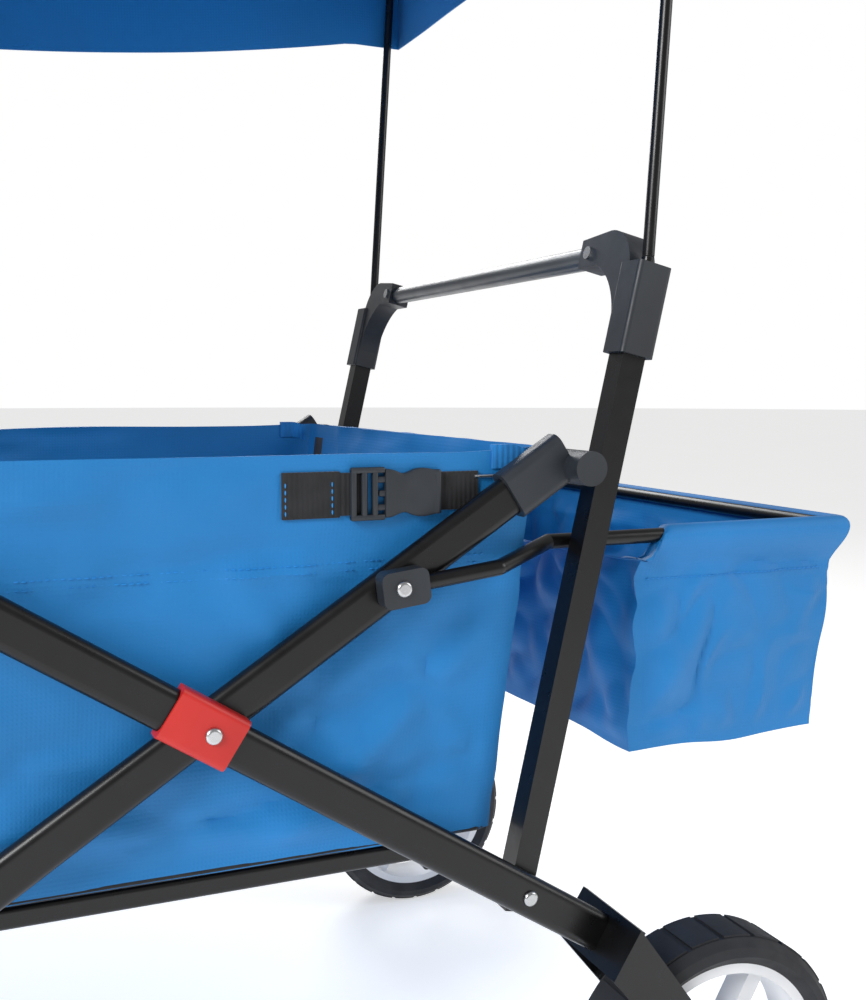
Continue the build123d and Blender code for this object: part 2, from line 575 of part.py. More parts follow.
def pull_grip():
    """Closed D-shaped grip on the inner tube's top."""
    foot = PULL_LOWER + PULL_SHOWN
    outer = extrude(Plane.YZ * RectangleRounded(GRIP_WIDE, GRIP_HIGH, 20), GRIP_D / 2, both=True)
    inner = extrude(Plane.YZ * RectangleRounded(GRIP_WIDE - 40, GRIP_HIGH - 40, 10), GRIP_D, both=True)
    loop = Pos(0, 0, foot + GRIP_HIGH / 2 - 2) * (fillet(outer.edges().group_by(Axis.X)[-1], 4) - inner)
    loop -= Pos(0, 0, foot - 2.5) * Box(PULL_INNER + 2 * FIT, PULL_INNER + 2 * FIT, 8, align=(CENTRE, CENTRE, CENTRE))
    return pull_frame() * loop


def pull_bracket():
    """Two ears on the front bottom bar that hold the pull handle's pin."""
    hinge = pull_frame().position
    gap = PULL_TUBE / 2 + 0.5
    ears = None
    for edge in (-1, 1):
        ear = Location(hinge + Vector(PULL_AHEAD / 2 - 4, edge * (gap + 2), 0)) * Box(PULL_AHEAD + 8, 4, 26)
        ears = ear if ears is None else ears + ear
    plate_x = PULL_AHEAD - END_BAR_D / 2 - 4
    ears += Location(hinge + Vector(plate_x, 0, 0)) * Box(4, 2 * gap + 8, 26)
    ears -= Location(hinge + Vector(PULL_AHEAD, 0, 0)) * Rot(90, 0, 0) * Cylinder(END_BAR_D / 2 + FIT, 200)
    return ears - Location(hinge) * Rot(90, 0, 0) * Cylinder(4 + FIT, 200)


def pull_pin():
    half = PULL_TUBE / 2 + 4.5
    pin = Cylinder(4, 2 * half)
    for end in (-1, 1):
        pin += Pos(0, 0, end * (half + 1)) * Cylinder(6.5, 2)
    return Location(pull_frame().position) * Rot(90, 0, 0) * pin


# ---- rear bay: legs outside, braces inside; front bay: braces outside, legs inside
for name, side in SIDES:
    save(f"rear_leg_{name}", scissor_tube(0, -REACH - 12, LEG_REACH, -1, side, OUTER_Y,
                                          (-REACH, 0, HANDLE_PIVOT_REACH)))
    save(f"front_leg_{name}", scissor_tube(-BAY, -FRONT_REACH + TUBE_HIGH / 2, REACH + 12, 1, side, INNER_Y,
                                           (0, REACH)))
    save(f"caster_fork_{name}", caster_fork(side))
    save(f"rear_tyre_{name}", tyre(REAR_WHEEL_X, side * REAR_WHEEL_Y, WHEEL_R))
    save(f"rear_rim_{name}", rim(REAR_WHEEL_X, side * REAR_WHEEL_Y, WHEEL_R))
    save(f"front_tyre_{name}", tyre(-BAY - CASTER_X + CASTER_TRAIL, side * CASTER_Y, WHEEL_R))
    save(f"front_rim_{name}", rim(-BAY - CASTER_X + CASTER_TRAIL, side * CASTER_Y, WHEEL_R))
    save(f"caster_axle_{name}", axle(-BAY - CASTER_X + CASTER_TRAIL, side * CASTER_Y, WHEEL_R))

inner_out = INNER_Y + TUBE_THICK / 2
inner_in = INNER_Y - TUBE_THICK / 2
outer_out = OUTER_Y + TUBE_THICK / 2
sides = [side for _, side in SIDES]


def pair(name, make):
    """Save a left and a right piece as one node."""
    save(name, *[make(side) for side in sides])


def crossing_rivets(name, cross_x, middle_z):
    """The rivets of one crossing and of the pivot that its outer tubes carry at the cart's middle."""
    save(name, *[rivet(cross_x, CROSS_HEIGHT, s, inner_in, outer_out + CLIP_WALL) for s in sides],
         *[rivet(-BAY / 2, middle_z, s, inner_in, outer_out) for s in sides])


pair("rear_braces", lambda s: scissor_tube(0, -REACH - 12, REACH - TUBE_SHORT, 1, s, INNER_Y,
                                           (-REACH, 0, ARM_PIVOT_REACH)))
pair("front_braces", lambda s: scissor_tube(-BAY, -REACH + TUBE_SHORT, REACH + 12, -1, s, OUTER_Y, (0, REACH)))
pair("rear_elbows", lambda s: elbow(1, 0, s, INNER_Y))
pair("front_elbows", lambda s: elbow(-1, -BAY, s, OUTER_Y))
pair("rear_forks", rear_fork)
pair("caster_housings", caster_housing)
pair("handle_tubes", handle_tube)
pair("handle_corners", handle_corner)
pair("basket_arms", basket_arm)
pair("rear_axles", lambda s: axle(REAR_WHEEL_X, s * REAR_WHEEL_Y, WHEEL_R))
pair("rear_clips", lambda s: clip(0, -1, s))
pair("front_clips", lambda s: clip(-BAY, -1, s))
crossing_rivets("rear_leg_rivets", 0, CROSS_HEIGHT + MIDDLE_RISE)
crossing_rivets("front_brace_rivets", -BAY, CROSS_HEIGHT - MIDDLE_RISE)
pair("handle_rivets", lambda s: rivet(PIVOT_X, PIVOT_Z, s, HANDLE_Y - HANDLE_TUBE / 2, outer_out))
pair("arm_rivets", lambda s: rivet(ARM_PIVOT_X, ARM_PIVOT_Z, s, inner_in, ARM_OUT_Y + ARM_D / 2 + 2))
pair("arm_caps", arm_cap)
save("rear_top_bar", end_bar(1, 0, INNER_Y))
save("front_top_bar", end_bar(-1, -BAY, OUTER_Y))
save("rear_rail_bar", rail_bar(1, 0))
save("front_rail_bar", rail_bar(-1, -BAY))
pair("rear_floor_rails", lambda s: floor_rail(1, 0, s))
pair("front_floor_rails", lambda s: floor_rail(-1, -BAY, s))
bar_half = CASTER_Y - HOUSING_D / 2 + 1
bar_z = pull_frame().position.Z
bar_spot = at(-BAY - CASTER_X, 0, bar_z)
foot_bar = rod(bar_spot - Vector(0, bar_half, 0), bar_spot + Vector(0, bar_half, 0), END_BAR_D / 2)
for side in sides:
    foot_bar -= Location(at(-BAY - CASTER_X, side * CASTER_Y, 100)) * Cylinder(HOUSING_D / 2, 300, align=UP)
save("front_foot_bar", foot_bar)
save("handle_bar", handle_bar())
pair("corner_screws", corner_screw)
pair("pole_studs", pole_stud)
pair("rear_poles", rear_pole)
pair("front_poles", front_pole)
pair("pole_cradles", pole_cradle)
bar_half = ARM_Y - ARM_D / 2
save("basket_rear_bar",
     rod(at(ARM_END_X, -bar_half, ARM_HEIGHT), at(ARM_END_X, bar_half, ARM_HEIGHT), ARM_D / 2))
save("basket_fabric", open_box(at(BASKET_FRONT_X, -ARM_Y + ARM_D / 2 + SEAT, BASKET_BOTTOM),
                               at(ARM_END_X - ARM_D / 2 - SEAT, ARM_Y - ARM_D / 2 - SEAT, BASKET_TOP), CLOTH))
save("tub_fabric", tub())
save("floor_pad", *floor_pad())
save("canopy_fabric", open_box(at(-BAY - CANOPY_FRONT_X, -CANOPY_HALF_WIDE, CANOPY_BOTTOM),
                               at(CANOPY_REAR_X, CANOPY_HALF_WIDE, CANOPY_BOTTOM + VALANCE), CLOTH, False))
pair("side_straps", strap)
pair("buckle_bodies", lambda s: buckle(s, "body"))
pair("buckle_tongues", lambda s: buckle(s, "tongue"))
save("pull_bracket", pull_bracket())
save("pull_pin", pull_pin())
save("pull_lower_tube", pull_lower())
save("pull_upper_tube", pull_upper())
save("pull_grip", pull_grip())
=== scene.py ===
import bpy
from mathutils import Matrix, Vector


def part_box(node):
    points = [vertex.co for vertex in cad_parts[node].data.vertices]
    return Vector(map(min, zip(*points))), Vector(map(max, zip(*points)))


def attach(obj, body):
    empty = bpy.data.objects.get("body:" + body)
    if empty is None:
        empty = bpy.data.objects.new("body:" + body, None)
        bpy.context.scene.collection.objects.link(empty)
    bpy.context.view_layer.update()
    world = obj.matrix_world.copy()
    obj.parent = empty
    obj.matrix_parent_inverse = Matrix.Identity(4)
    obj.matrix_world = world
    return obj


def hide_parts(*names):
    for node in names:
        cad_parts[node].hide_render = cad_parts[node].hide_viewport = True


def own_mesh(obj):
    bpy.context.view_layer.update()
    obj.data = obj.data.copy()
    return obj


bl_info = {
    "name": "Beach cart",
    "version": (1, 0, 0),
    "blender": (4, 5, 0),
    "location": "View3D > Sidebar > Beach cart",
    "description": "Dresses the packed folding beach cart in fabric, webbing, steel and plastic",
    "category": "Object",
}

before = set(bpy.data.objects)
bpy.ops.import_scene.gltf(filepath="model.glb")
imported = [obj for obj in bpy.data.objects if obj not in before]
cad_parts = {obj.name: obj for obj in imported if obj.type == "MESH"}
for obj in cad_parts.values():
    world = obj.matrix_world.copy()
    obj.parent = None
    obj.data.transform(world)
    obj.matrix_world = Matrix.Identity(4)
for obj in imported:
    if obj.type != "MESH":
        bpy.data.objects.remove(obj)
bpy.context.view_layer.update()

import math

import bmesh
import bpy
from bpy.props import FloatProperty, PointerProperty, StringProperty
from mathutils import Matrix, Vector, noise

MM = 0.001
SIDES = (("near", -1), ("far", 1))

# ---- places read from the frame
TUB_LOW, TUB_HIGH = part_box("tub_fabric")
BASKET_LOW, BASKET_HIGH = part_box("basket_fabric")
CANOPY_LOW, CANOPY_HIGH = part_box("canopy_fabric")
PAD_LOW, PAD_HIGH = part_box("floor_pad")
STRAP_LOW, STRAP_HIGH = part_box("side_straps")
BODY_LOW, BODY_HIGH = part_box("buckle_bodies")
TONGUE_LOW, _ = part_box("buckle_tongues")
BAR_LOW, BAR_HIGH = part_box("basket_rear_bar")
REAR_BAR_LOW, REAR_BAR_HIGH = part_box("rear_top_bar")
FRONT_BAR_LOW, FRONT_BAR_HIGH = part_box("front_top_bar")

# ---- tub
END_SLANT = 32 * MM          # how much shorter each end is at the bottom than at the top
SEAM_DROP = 70 * MM          # the stitched seam lies this far under the top edge
HEM_DROOP = 5 * MM
CLOTH_THICK = 1.6 * MM
STITCH_PITCH = 4.2 * MM
STITCH_LONG = 3.0 * MM
STITCH_THICK = 1.0 * MM
STITCH_GAP = 5.0 * MM        # between the two rows of the seam
STITCH_PROUD = 0.2 * MM
PIPING_R = 2.2 * MM
SIDE_FOLD_GAIN = 1.7         # the heights in SIDE_FOLDS are multiplied by this
SEAM_SINK = 0.0026           # the seam draws the wall in by this, in metres
SEAM_WIDE = 0.0045
PUCKER_HIGH = 0.0016         # short gathers along the seam
PUCKER_WIDE = 0.014
PUCKER_TURN = 170            # radians per metre of wall
HEM_SWELL = 0.0022           # the rolled edge at the top
HEM_LAYER = 0.0013           # the second layer, from the edge down to the seam
SEWN_HOLD = 0.97             # how much of the relief the sewn strap takes away

# ---- basket
SLEEVE_R = 7.5 * MM
SLEEVE_RISE = 32 * MM        # the panel starts to lean out to the arm this far under its centre
NOTCH_LONG = 20 * MM
NOTCH_DEEP = 24 * MM
CORNER_ROUND = 9 * MM
ARM_Y = 0.2395               # centre line of the basket's arms past their step, either side
BASKET_HEM = 31 * MM         # the stitched hem lies this far under the arms
BASKET_CLOTH = 1.2 * MM
BASKET_BACK = 22 * MM        # how far the front panel stands back from the handle
BASKET_BULGE = 6 * MM

# ---- canopy
CANOPY_DROOP = 0.044         # how far the long sides sag between the poles
CANOPY_HELD = 0.9            # share of the half length past which the poles hold it level
CANOPY_CLOTH = 1.2 * MM
CANOPY_HEM = 16 * MM         # the stitched hem lies this far over the valance's edge
CANOPY_END_DRAWN = 0.006      # the ends and the sides draw in between the corners
CANOPY_SIDE_DRAWN = 0.010
PATCH_PROUD = 1.2 * MM
PATCH_REACH = 42 * MM

# ---- view, in metres
VIEW_PLACE = (0.0204, -0.90765, 0.5742)
VIEW_RIGHT = (0.91930923, -0.39353288, 0.00155498)
VIEW_UP = (0.03714045, 0.09069395, 0.99518601)
VIEW_BACK = (-0.39177944, -0.91482593, 0.09799177)
VIEW_LENS = 41.76
VIEW_SENSOR = 36.0
BACKDROP_LIGHT = 0.34
FLOOR_GLOW = 0.5
FILL_SHARE = 0.22            # of the key light's power
RIM_SHARE = 0.5

# ---- materials, as noise turns per metre
WEBBING_BLOTCH = 90.0        # blotches of about 11 mm
GRAIN_BLOTCH = 14.0          # of about 70 mm


class CartSettings(bpy.types.PropertyGroup):
    cloth_colour: StringProperty(name="Cloth colour", description="Blue polyester, sRGB hex", default="#0A78BE")
    thread_spacing: FloatProperty(name="Thread spacing", description="Spacing of the drawn weave in millimetres",
                                  default=1.3, min=0.3, max=5.0)
    tub_wrinkle: FloatProperty(name="Tub wrinkles", description="Height of the tub's wrinkles", default=0.0060,
                               min=0.0, max=0.01, unit="LENGTH")
    basket_crumple: FloatProperty(name="Basket crumple", description="Depth of the basket's creases", default=0.0115,
                                  min=0.0, max=0.012, unit="LENGTH")
    canopy_sag: FloatProperty(name="Canopy sag", description="How far the roof sags between its edges",
                              default=0.014, min=0.0, max=0.05, unit="LENGTH")
    key_power: FloatProperty(name="Key light", description="Power of the large soft light", default=72.0,
                             min=0.0, unit="POWER")
    floor_colour: StringProperty(name="Floor colour", description="Pale studio floor, sRGB hex", default="#F4F4F3")


# ---------------------------------------------------------------- materials

def linear(hex_colour):
    """sRGB hex to a linear RGBA colour."""
    raw = hex_colour.lstrip("#")
    parts = [int(raw[i:i + 2], 16) / 255 for i in (0, 2, 4)]
    return tuple(c / 12.92 if c <= 0.04045 else ((c + 0.055) / 1.055) ** 2.4 for c in parts) + (1.0,)


def add_node(tree, kind, settings=None, values=None, links=None):
    """One node with its settings, its socket values and its incoming links."""
    node = tree.nodes.new(kind)
    for key, value in (settings or {}).items():
        setattr(node, key, value)
    for key, value in (values or {}).items():
        node.inputs[key].default_value = value
    for key, socket in (links or {}).items():
        tree.links.new(socket, node.inputs[key])
    return node


def start_material(name, values):
    """A material with one Principled shader, and the sockets its patterns read."""
    mat = bpy.data.materials.new(name)
    mat.use_nodes = True
    tree = mat.node_tree
    tree.nodes.clear()
    shader = add_node(tree, "ShaderNodeBsdfPrincipled", values=values)
    add_node(tree, "ShaderNodeOutputMaterial", links={"Surface": shader.outputs[0]})
    coords = add_node(tree, "ShaderNodeTexCoord")
    return mat, tree, shader, coords


def blotch(tree, shader, coords, dark, light, scale, low=0.35, high=0.65, detail=3.0):
    """Slow change between two close colours over the surface."""
    spots = add_node(tree, "ShaderNodeTexNoise", values={"Scale": scale, "Detail": detail},
                     links={"Vector": coords.outputs["Object"]})
    colours = add_node(tree, "ShaderNodeValToRGB", links={"Fac": spots.outputs["Fac"]})
    colours.color_ramp.elements[0].position = low
    colours.color_ramp.elements[0].color = linear(dark)
    colours.color_ramp.elements[1].position = high
    colours.color_ramp.elements[1].color = linear(light)
    tree.links.new(colours.outputs["Color"], shader.inputs["Base Color"])


def shade(colour, factor):
    """A hex colour made darker or lighter."""
    raw = colour.lstrip("#")
    return "#" + "".join(f"{min(255, round(int(raw[i:i + 2], 16) * factor)):02X}" for i in (0, 2, 4))


def woven_polyester(settings):
    """Oxford-weave polyester: matt, with a fine grid of threads and a slight sheen where it turns away."""
    mat, tree, shader, coords = start_material("woven_polyester_blue", {
        "Roughness": 0.62, "IOR": 1.5, "Sheen Weight": 0.08, "Sheen Roughness": 0.4})
    blotch(tree, shader, coords, shade(settings.cloth_colour, 0.93), settings.cloth_colour, 7.0)
    # a real thread is about half a millimetre, too fine to show, so the weave is drawn about twice as coarse
    scale = math.pi / 10 / (settings.thread_spacing * MM)
    rows = []
    for direction in ("X", "Y"):
        rows.append(add_node(tree, "ShaderNodeTexWave", {"bands_direction": direction},
                             {"Scale": scale, "Distortion": 0.6, "Detail": 1.0, "Detail Scale": 0.4},
                             {"Vector": coords.outputs["UV"]}))
    weave = add_node(tree, "ShaderNodeMath", {"operation": "MULTIPLY"},
                     links={0: rows[0].outputs["Fac"], 1: rows[1].outputs["Fac"]})
    threads = add_node(tree, "ShaderNodeBump", values={"Strength": 0.35, "Distance": 0.25 * MM},
                       links={"Height": weave.outputs[0]})
    slub = add_node(tree, "ShaderNodeTexNoise", values={"Scale": 150.0, "Detail": 4.0, "Roughness": 0.6},
                    links={"Vector": coords.outputs["Object"]})
    puckers = add_node(tree, "ShaderNodeBump", values={"Strength": 0.3, "Distance": 0.5 * MM},
                       links={"Height": slub.outputs["Fac"], "Normal": threads.outputs["Normal"]})
    tree.links.new(puckers.outputs["Normal"], shader.inputs["Normal"])
    return mat


def ribbed_webbing(name, dark, light, rib_mm):
    """Woven nylon webbing: dull, with ribs across its length that catch the light."""
    mat, tree, shader, coords = start_material(name, {"Roughness": 0.8, "IOR": 1.5, "Sheen Weight": 0.15})
    blotch(tree, shader, coords, dark, light, WEBBING_BLOTCH)
    ribs = add_node(tree, "ShaderNodeTexWave", {"bands_direction": "X"},
                    {"Scale": math.pi / 10 / (rib_mm * MM), "Distortion": 1.0, "Detail": 2.0},
                    {"Vector": coords.outputs["UV"]})
    bump = add_node(tree, "ShaderNodeBump", values={"Strength": 0.7, "Distance": 0.4 * MM},
                    links={"Height": ribs.outputs["Fac"]})
    tree.links.new(bump.outputs["Normal"], shader.inputs["Normal"])
    return mat


def grained(name, dark, light, values, grit_mm, height_mm, strength=0.25):
    """A hard surface with a fine grain: powder coat, moulded nylon or rubber."""
    mat, tree, shader, coords = start_material(name, values)
    blotch(tree, shader, coords, dark, light, GRAIN_BLOTCH)
    grit = add_node(tree, "ShaderNodeTexNoise", values={"Scale": 1 / (grit_mm * MM), "Detail": 3.0},
                    links={"Vector": coords.outputs["Object"]})
    bump = add_node(tree, "ShaderNodeBump", values={"Strength": strength, "Distance": height_mm * MM},
                    links={"Height": grit.outputs["Fac"]})
    tree.links.new(bump.outputs["Normal"], shader.inputs["Normal"])
    wear = add_node(tree, "ShaderNodeTexNoise", values={"Scale": 60.0, "Detail": 5.0},
                    links={"Vector": coords.outputs["Object"]})
    spread = add_node(tree, "ShaderNodeMapRange", values={
        "From Min": 0.3, "From Max": 0.7, "To Min": values["Roughness"] * 0.85, "To Max": values["Roughness"] * 1.15},
        links={"Value": wear.outputs["Fac"]})
    tree.links.new(spread.outputs["Result"], shader.inputs["Roughness"])
    return mat


def make_materials(settings):
    """Every finish on the cart, once."""
    return {
        "cloth": woven_polyester(settings),
        # ribbon woven in the same blue, with ribs that show on the corner by the elbow
        "ribbon": ribbed_webbing("grosgrain_ribbon_blue", "#0B6FB4", "#0F7FCB", 2.0),
        "webbing": ribbed_webbing("woven_webbing_black", "#0E0F12", "#1A1B1F", 1.6),
        "thread": grained("sewing_thread_blue", "#0B72BC", "#1583CC", {"Roughness": 0.6, "IOR": 1.5}, 0.4, 0.05),
        "pad": grained("polyester_lining_black", "#141518", "#1E1F23",
                       {"Roughness": 0.85, "IOR": 1.5, "Sheen Weight": 0.2}, 0.9, 0.3),
        # powder coat: satin black, with the faint orange peel that softens its highlights
        "powder_coated_steel": grained("powder_coated_steel_black", "#060607", "#0B0B0D",
                                       {"Roughness": 0.3, "IOR": 1.45},
                                       1.2, 0.04, 0.15),
        "bar_coat": grained("powder_coated_steel_satin_grey", "#2C3238", "#3A4148",
                            {"Roughness": 0.34, "IOR": 1.5, "Coat Weight": 0.2, "Coat Roughness": 0.25},
                             1.2, 0.04, 0.15),
        # moulded nylon: dark grey-black, finely spark-textured, so its highlights are broad
        "black_nylon": grained("moulded_nylon_black", "#1B1F24", "#242930",
                               {"Roughness": 0.48, "IOR": 1.53}, 0.7, 0.08, 0.35),
        "red_nylon": grained("moulded_nylon_red", "#B01812", "#C42018", {"Roughness": 0.42, "IOR": 1.53}, 0.8, 0.05),
        "zinc_steel": grained("zinc_plated_steel", "#B4B6B8", "#CFD0D2",
                              {"Roughness": 0.28, "Metallic": 1.0}, 0.8, 0.02),
        # rubber tread: dull black-grey, dusty in its low places
        "tyre_rubber": grained("moulded_rubber_black", "#15161A", "#212329",
                               {"Roughness": 0.7, "IOR": 1.52}, 1.0, 0.15, 0.4),
        "white_rim": grained("moulded_polypropylene_white", "#D4D6DA", "#E6E7EA",
                             {"Roughness": 0.35, "IOR": 1.49}, 1.5, 0.03),
    }


MATERIALS = {}


def finish_with(obj, key, smooth=True):
    """Gives a piece its finish and its slot, and smooths its shallow edges."""
    obj.data.materials.clear()
    obj.data.materials.append(MATERIALS[key])
    if smooth:
        with_only(obj)
        bpy.ops.object.shade_smooth_by_angle(angle=math.radians(38))
    return obj


# ---------------------------------------------------------------- modelling

def with_only(obj):
    """Selects one object and nothing else."""
    bpy.ops.object.select_all(action="DESELECT")
    obj.select_set(True)
    bpy.context.view_layer.objects.active = obj


def place_in_mesh(obj, name):
    """Leaves the object at the origin, with its place in its mesh."""
    obj.name = obj.data.name = name
    with_only(obj)
    bpy.ops.object.transform_apply(location=True, rotation=True, scale=True)
    return obj


def edit_select(obj, kind, test):
    """In edit mode, selects the faces, edges or verts that pass a test."""
    bpy.ops.mesh.select_mode(type={"faces": "FACE", "edges": "EDGE", "verts": "VERT"}[kind])
    bpy.ops.mesh.select_all(action="DESELECT")
    mesh = bmesh.from_edit_mesh(obj.data)
    for element in getattr(mesh, kind):
        if test(element):
            element.select_set(True)
    mesh.select_flush_mode()
    bmesh.update_edit_mesh(obj.data)


def cut_box(name, low, high, cuts, drop=None):
    """A block cut into a grid along x, y and z, with a metre-scale UV map, and without the faces that drop picks."""
    low, high = Vector(low), Vector(high)
    bpy.ops.object.select_all(action="DESELECT")
    bpy.ops.mesh.primitive_cube_add(size=1, location=(low + high) / 2, scale=high - low)
    obj = place_in_mesh(bpy.context.object, name)
    bpy.ops.object.mode_set(mode="EDIT")
    for axis, count in enumerate(cuts):
        if count:
            edit_select(obj, "edges", lambda e: abs((e.verts[0].co - e.verts[1].co).normalized()[axis]) > 0.99)
            bpy.ops.mesh.subdivide(number_cuts=count)
    if drop:
        edit_select(obj, "faces", drop)
        bpy.ops.mesh.delete(type="FACE")
    bpy.ops.mesh.select_all(action="SELECT")
    bpy.ops.uv.cube_project(cube_size=2.0)
    bpy.ops.object.mode_set(mode="OBJECT")
    return obj


def reshape(obj, move):
    """Moves every vertex of a piece by a rule."""
    for v in obj.data.vertices:
        v.co = move(v.co.copy())
    obj.data.update()
    return obj


def apply_modifier(obj, kind, **settings):
    """Adds one modifier and applies it."""
    with_only(obj)
    modifier = obj.modifiers.new(kind.lower(), kind)
    for key, value in settings.items():
        setattr(modifier, key, value)
    bpy.ops.object.modifier_apply(modifier=modifier.name)
    return obj


def joined(name, parts):
    """Several made parts as one piece."""
    bpy.ops.object.select_all(action="DESELECT")
    for part in parts:
        part.select_set(True)
    bpy.context.view_layer.objects.active = parts[0]
    bpy.ops.object.join()
    obj = bpy.context.object
    obj.name = obj.data.name = name
    return obj


def bevelled(obj, width, degrees):
    """The object with edges sharper than this angle rounded off in two steps."""
    return apply_modifier(obj, "BEVEL", width=width, segments=2, limit_method="ANGLE",
                          angle_limit=math.radians(degrees))


def soft_block(name, low, high, edge):
    """A block with rounded edges, for hard little fittings and webbing."""
    return bevelled(cut_box(name, low, high, (0, 0, 0)), edge, 40)


def squeeze(obj):
    """Hangs one of the tub's soft pieces on the tub's body and gives it a mesh of its own."""
    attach(obj, "tub")
    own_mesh(obj)
    return obj


def bump_at(value, centre, width):
    """A smooth hump of height one."""
    return math.exp(-((value - centre) / width) ** 2)


def ramp(value, low, high):
    """Smooth step from 0 at low to 1 at high."""
    t = min(1.0, max(0.0, (value - low) / (high - low)))
    return t * t * (3 - 2 * t)


def fold_height(u, v, fold):
    """Height of one tapered wrinkle that runs from (u0, v0) to (u1, v1)."""
    u0, v0, u1, v1, width, height = fold
    du, dv = u1 - u0, v1 - v0
    length = math.hypot(du, dv)
    t = ((u - u0) * du + (v - v0) * dv) / length ** 2
    off = ((u - u0) * dv - (v - v0) * du) / length
    if not -0.15 < t < 1.15:
        return 0.0
    return height * math.exp(-(off / width) ** 2) * math.sin(math.pi * min(1, max(0, (t + 0.15) / 1.3))) ** 0.7


# ---------------------------------------------------------------- tub

# wrinkles of a side wall, as (x, z, x, z, width, height), in metres
SIDE_FOLDS = (
    (0.33, 0.46, 0.12, 0.30, 0.012, 0.0045), (0.34, 0.42, 0.20, 0.30, 0.010, -0.0040),
    (0.30, 0.50, 0.02, 0.44, 0.009, 0.0030), (0.08, 0.36, 0.30, 0.31, 0.012, 0.0038),
    (0.02, 0.33, 0.28, 0.295, 0.010, -0.0034), (-0.02, 0.44, -0.20, 0.33, 0.014, 0.0040),
    (-0.10, 0.47, -0.34, 0.36, 0.012, -0.0034), (-0.50, 0.47, -0.32, 0.31, 0.013, 0.0046),
    (-0.48, 0.40, -0.36, 0.30, 0.010, -0.0036), (-0.04, 0.32, -0.26, 0.30, 0.010, 0.0034),
    (0.10, 0.515, -0.12, 0.48, 0.008, 0.0026), (-0.18, 0.52, -0.42, 0.485, 0.009, 0.0026),
    (0.26, 0.455, 0.33, 0.33, 0.009, 0.0036), (0.19, 0.44, 0.26, 0.33, 0.009, -0.0030),
    (-0.12, 0.315, 0.06, 0.36, 0.010, 0.0032), (0.34, 0.36, 0.24, 0.295, 0.008, 0.0034),
)


def tub_relief(x, z, seed, depth):
    """How far a tub wall stands out from flat at a place on it."""
    relief = SIDE_FOLD_GAIN * sum(fold_height(x, z, fold) for fold in SIDE_FOLDS)
    relief += depth * noise.noise(Vector((x * 9, z * 14, seed)))
    relief += 0.45 * depth * noise.noise(Vector((x * 26 + z * 18, z * 30, seed + 7)))
    seam_z = TUB_HIGH.z - SEAM_DROP
    near_seam = bump_at(z, seam_z, PUCKER_WIDE)
    relief += near_seam * PUCKER_HIGH * math.sin(x * PUCKER_TURN + 2.5 * noise.noise(Vector((x * 12, 0, seed))))
    relief -= SEAM_SINK * bump_at(z, seam_z, SEAM_WIDE)
    relief += HEM_SWELL * bump_at(z, TUB_HIGH.z - 0.006, 0.007)
    # the hem is a second layer down to the seam, and the sewn strap holds the wall flat behind it
    relief += HEM_LAYER * ramp(z, seam_z, seam_z + 0.003)
    sewn = ramp(x, STRAP_LOW.x - 0.03, STRAP_LOW.x) * (1 - ramp(x, STRAP_HIGH.x + 0.02, STRAP_HIGH.x + 0.05))
    sewn *= ramp(z, STRAP_LOW.z - 0.03, STRAP_LOW.z - 0.004)
    return relief * (1 - SEWN_HOLD * sewn)


def tub_place(p, depth, lift=0.0):
    """Where a point of the tub's plain block lies on the real, slanted and wrinkled tub."""
    z_share = (p.z - TUB_LOW.z) / (TUB_HIGH.z - TUB_LOW.z)
    middle_x = (TUB_LOW.x + TUB_HIGH.x) / 2
    half = (TUB_HIGH.x - TUB_LOW.x) / 2
    half_y = TUB_HIGH.y
    along, across = (p.x - middle_x) / half, p.y / half_y
    x = middle_x + along * (half - END_SLANT * (1 - z_share))
    y = p.y
    seed = 3.1 if across > 0 else 1.7
    if abs(across) > 0.999:
        hold = 1 - ramp(abs(along), 0.93, 1.0)
        out = tub_relief(x, p.z, seed, depth) * (0.25 + 0.75 * hold) * ramp(p.z, TUB_LOW.z, TUB_LOW.z + 0.02)
        y += math.copysign(min(out, 0.0075) + lift - 0.002, across)
    if abs(along) > 0.999:
        hold = 1 - ramp(abs(across), 0.9, 1.0)
        out = tub_relief(p.y * 0.9 + 0.05, p.z, 5.3 + along, depth) * (0.2 + 0.8 * hold)
        x += math.copysign(min(out, 0.006) + lift - 0.002, along)
    z = p.z
    if z_share > 0.999:
        z -= HEM_DROOP * (0.35 + 0.65 * noise.noise(Vector((x * 6, y * 6, 2.0)))) * (1 - ramp(abs(along), 0.85, 1.0))
    if z_share < 0.001:
        z += 0.0015 * noise.noise(Vector((x * 20, y * 20, 9.0))) + 0.001
    # pull the four upright corners round
    corner = ramp(abs(along), 0.975, 1.0) * ramp(abs(across), 0.955, 1.0)
    x -= math.copysign(CORNER_ROUND * 0.35 * corner, along)
    y -= math.copysign(CORNER_ROUND * 0.35 * corner, across)
    return Vector((x, y, z))


def stitch_row(name, start, end):
    """A row of stitches along a straight run, each a small flat bead."""
    start, end = Vector(start), Vector(end)
    run = (end - start).normalized()
    count = int((end - start).length / STITCH_PITCH)
    size = Vector([STITCH_LONG if abs(run[i]) > 0.5 else STITCH_THICK for i in range(3)])
    bpy.ops.object.select_all(action="DESELECT")
    bpy.ops.mesh.primitive_uv_sphere_add(segments=6, ring_count=4, radius=0.5, location=start + run * STITCH_LONG / 2,
                                         rotation=(0, math.pi / 2 if abs(run.x) > 0.5 else 0, 0))
    obj = place_in_mesh(bpy.context.object, name)
    centre = start + run * STITCH_LONG / 2
    reshape(obj, lambda p: centre + Vector([(p - centre)[i] * size[i] for i in range(3)]))
    return apply_modifier(obj, "ARRAY", count=count, use_relative_offset=False, use_constant_offset=True,
                          constant_offset_displace=run * STITCH_PITCH)


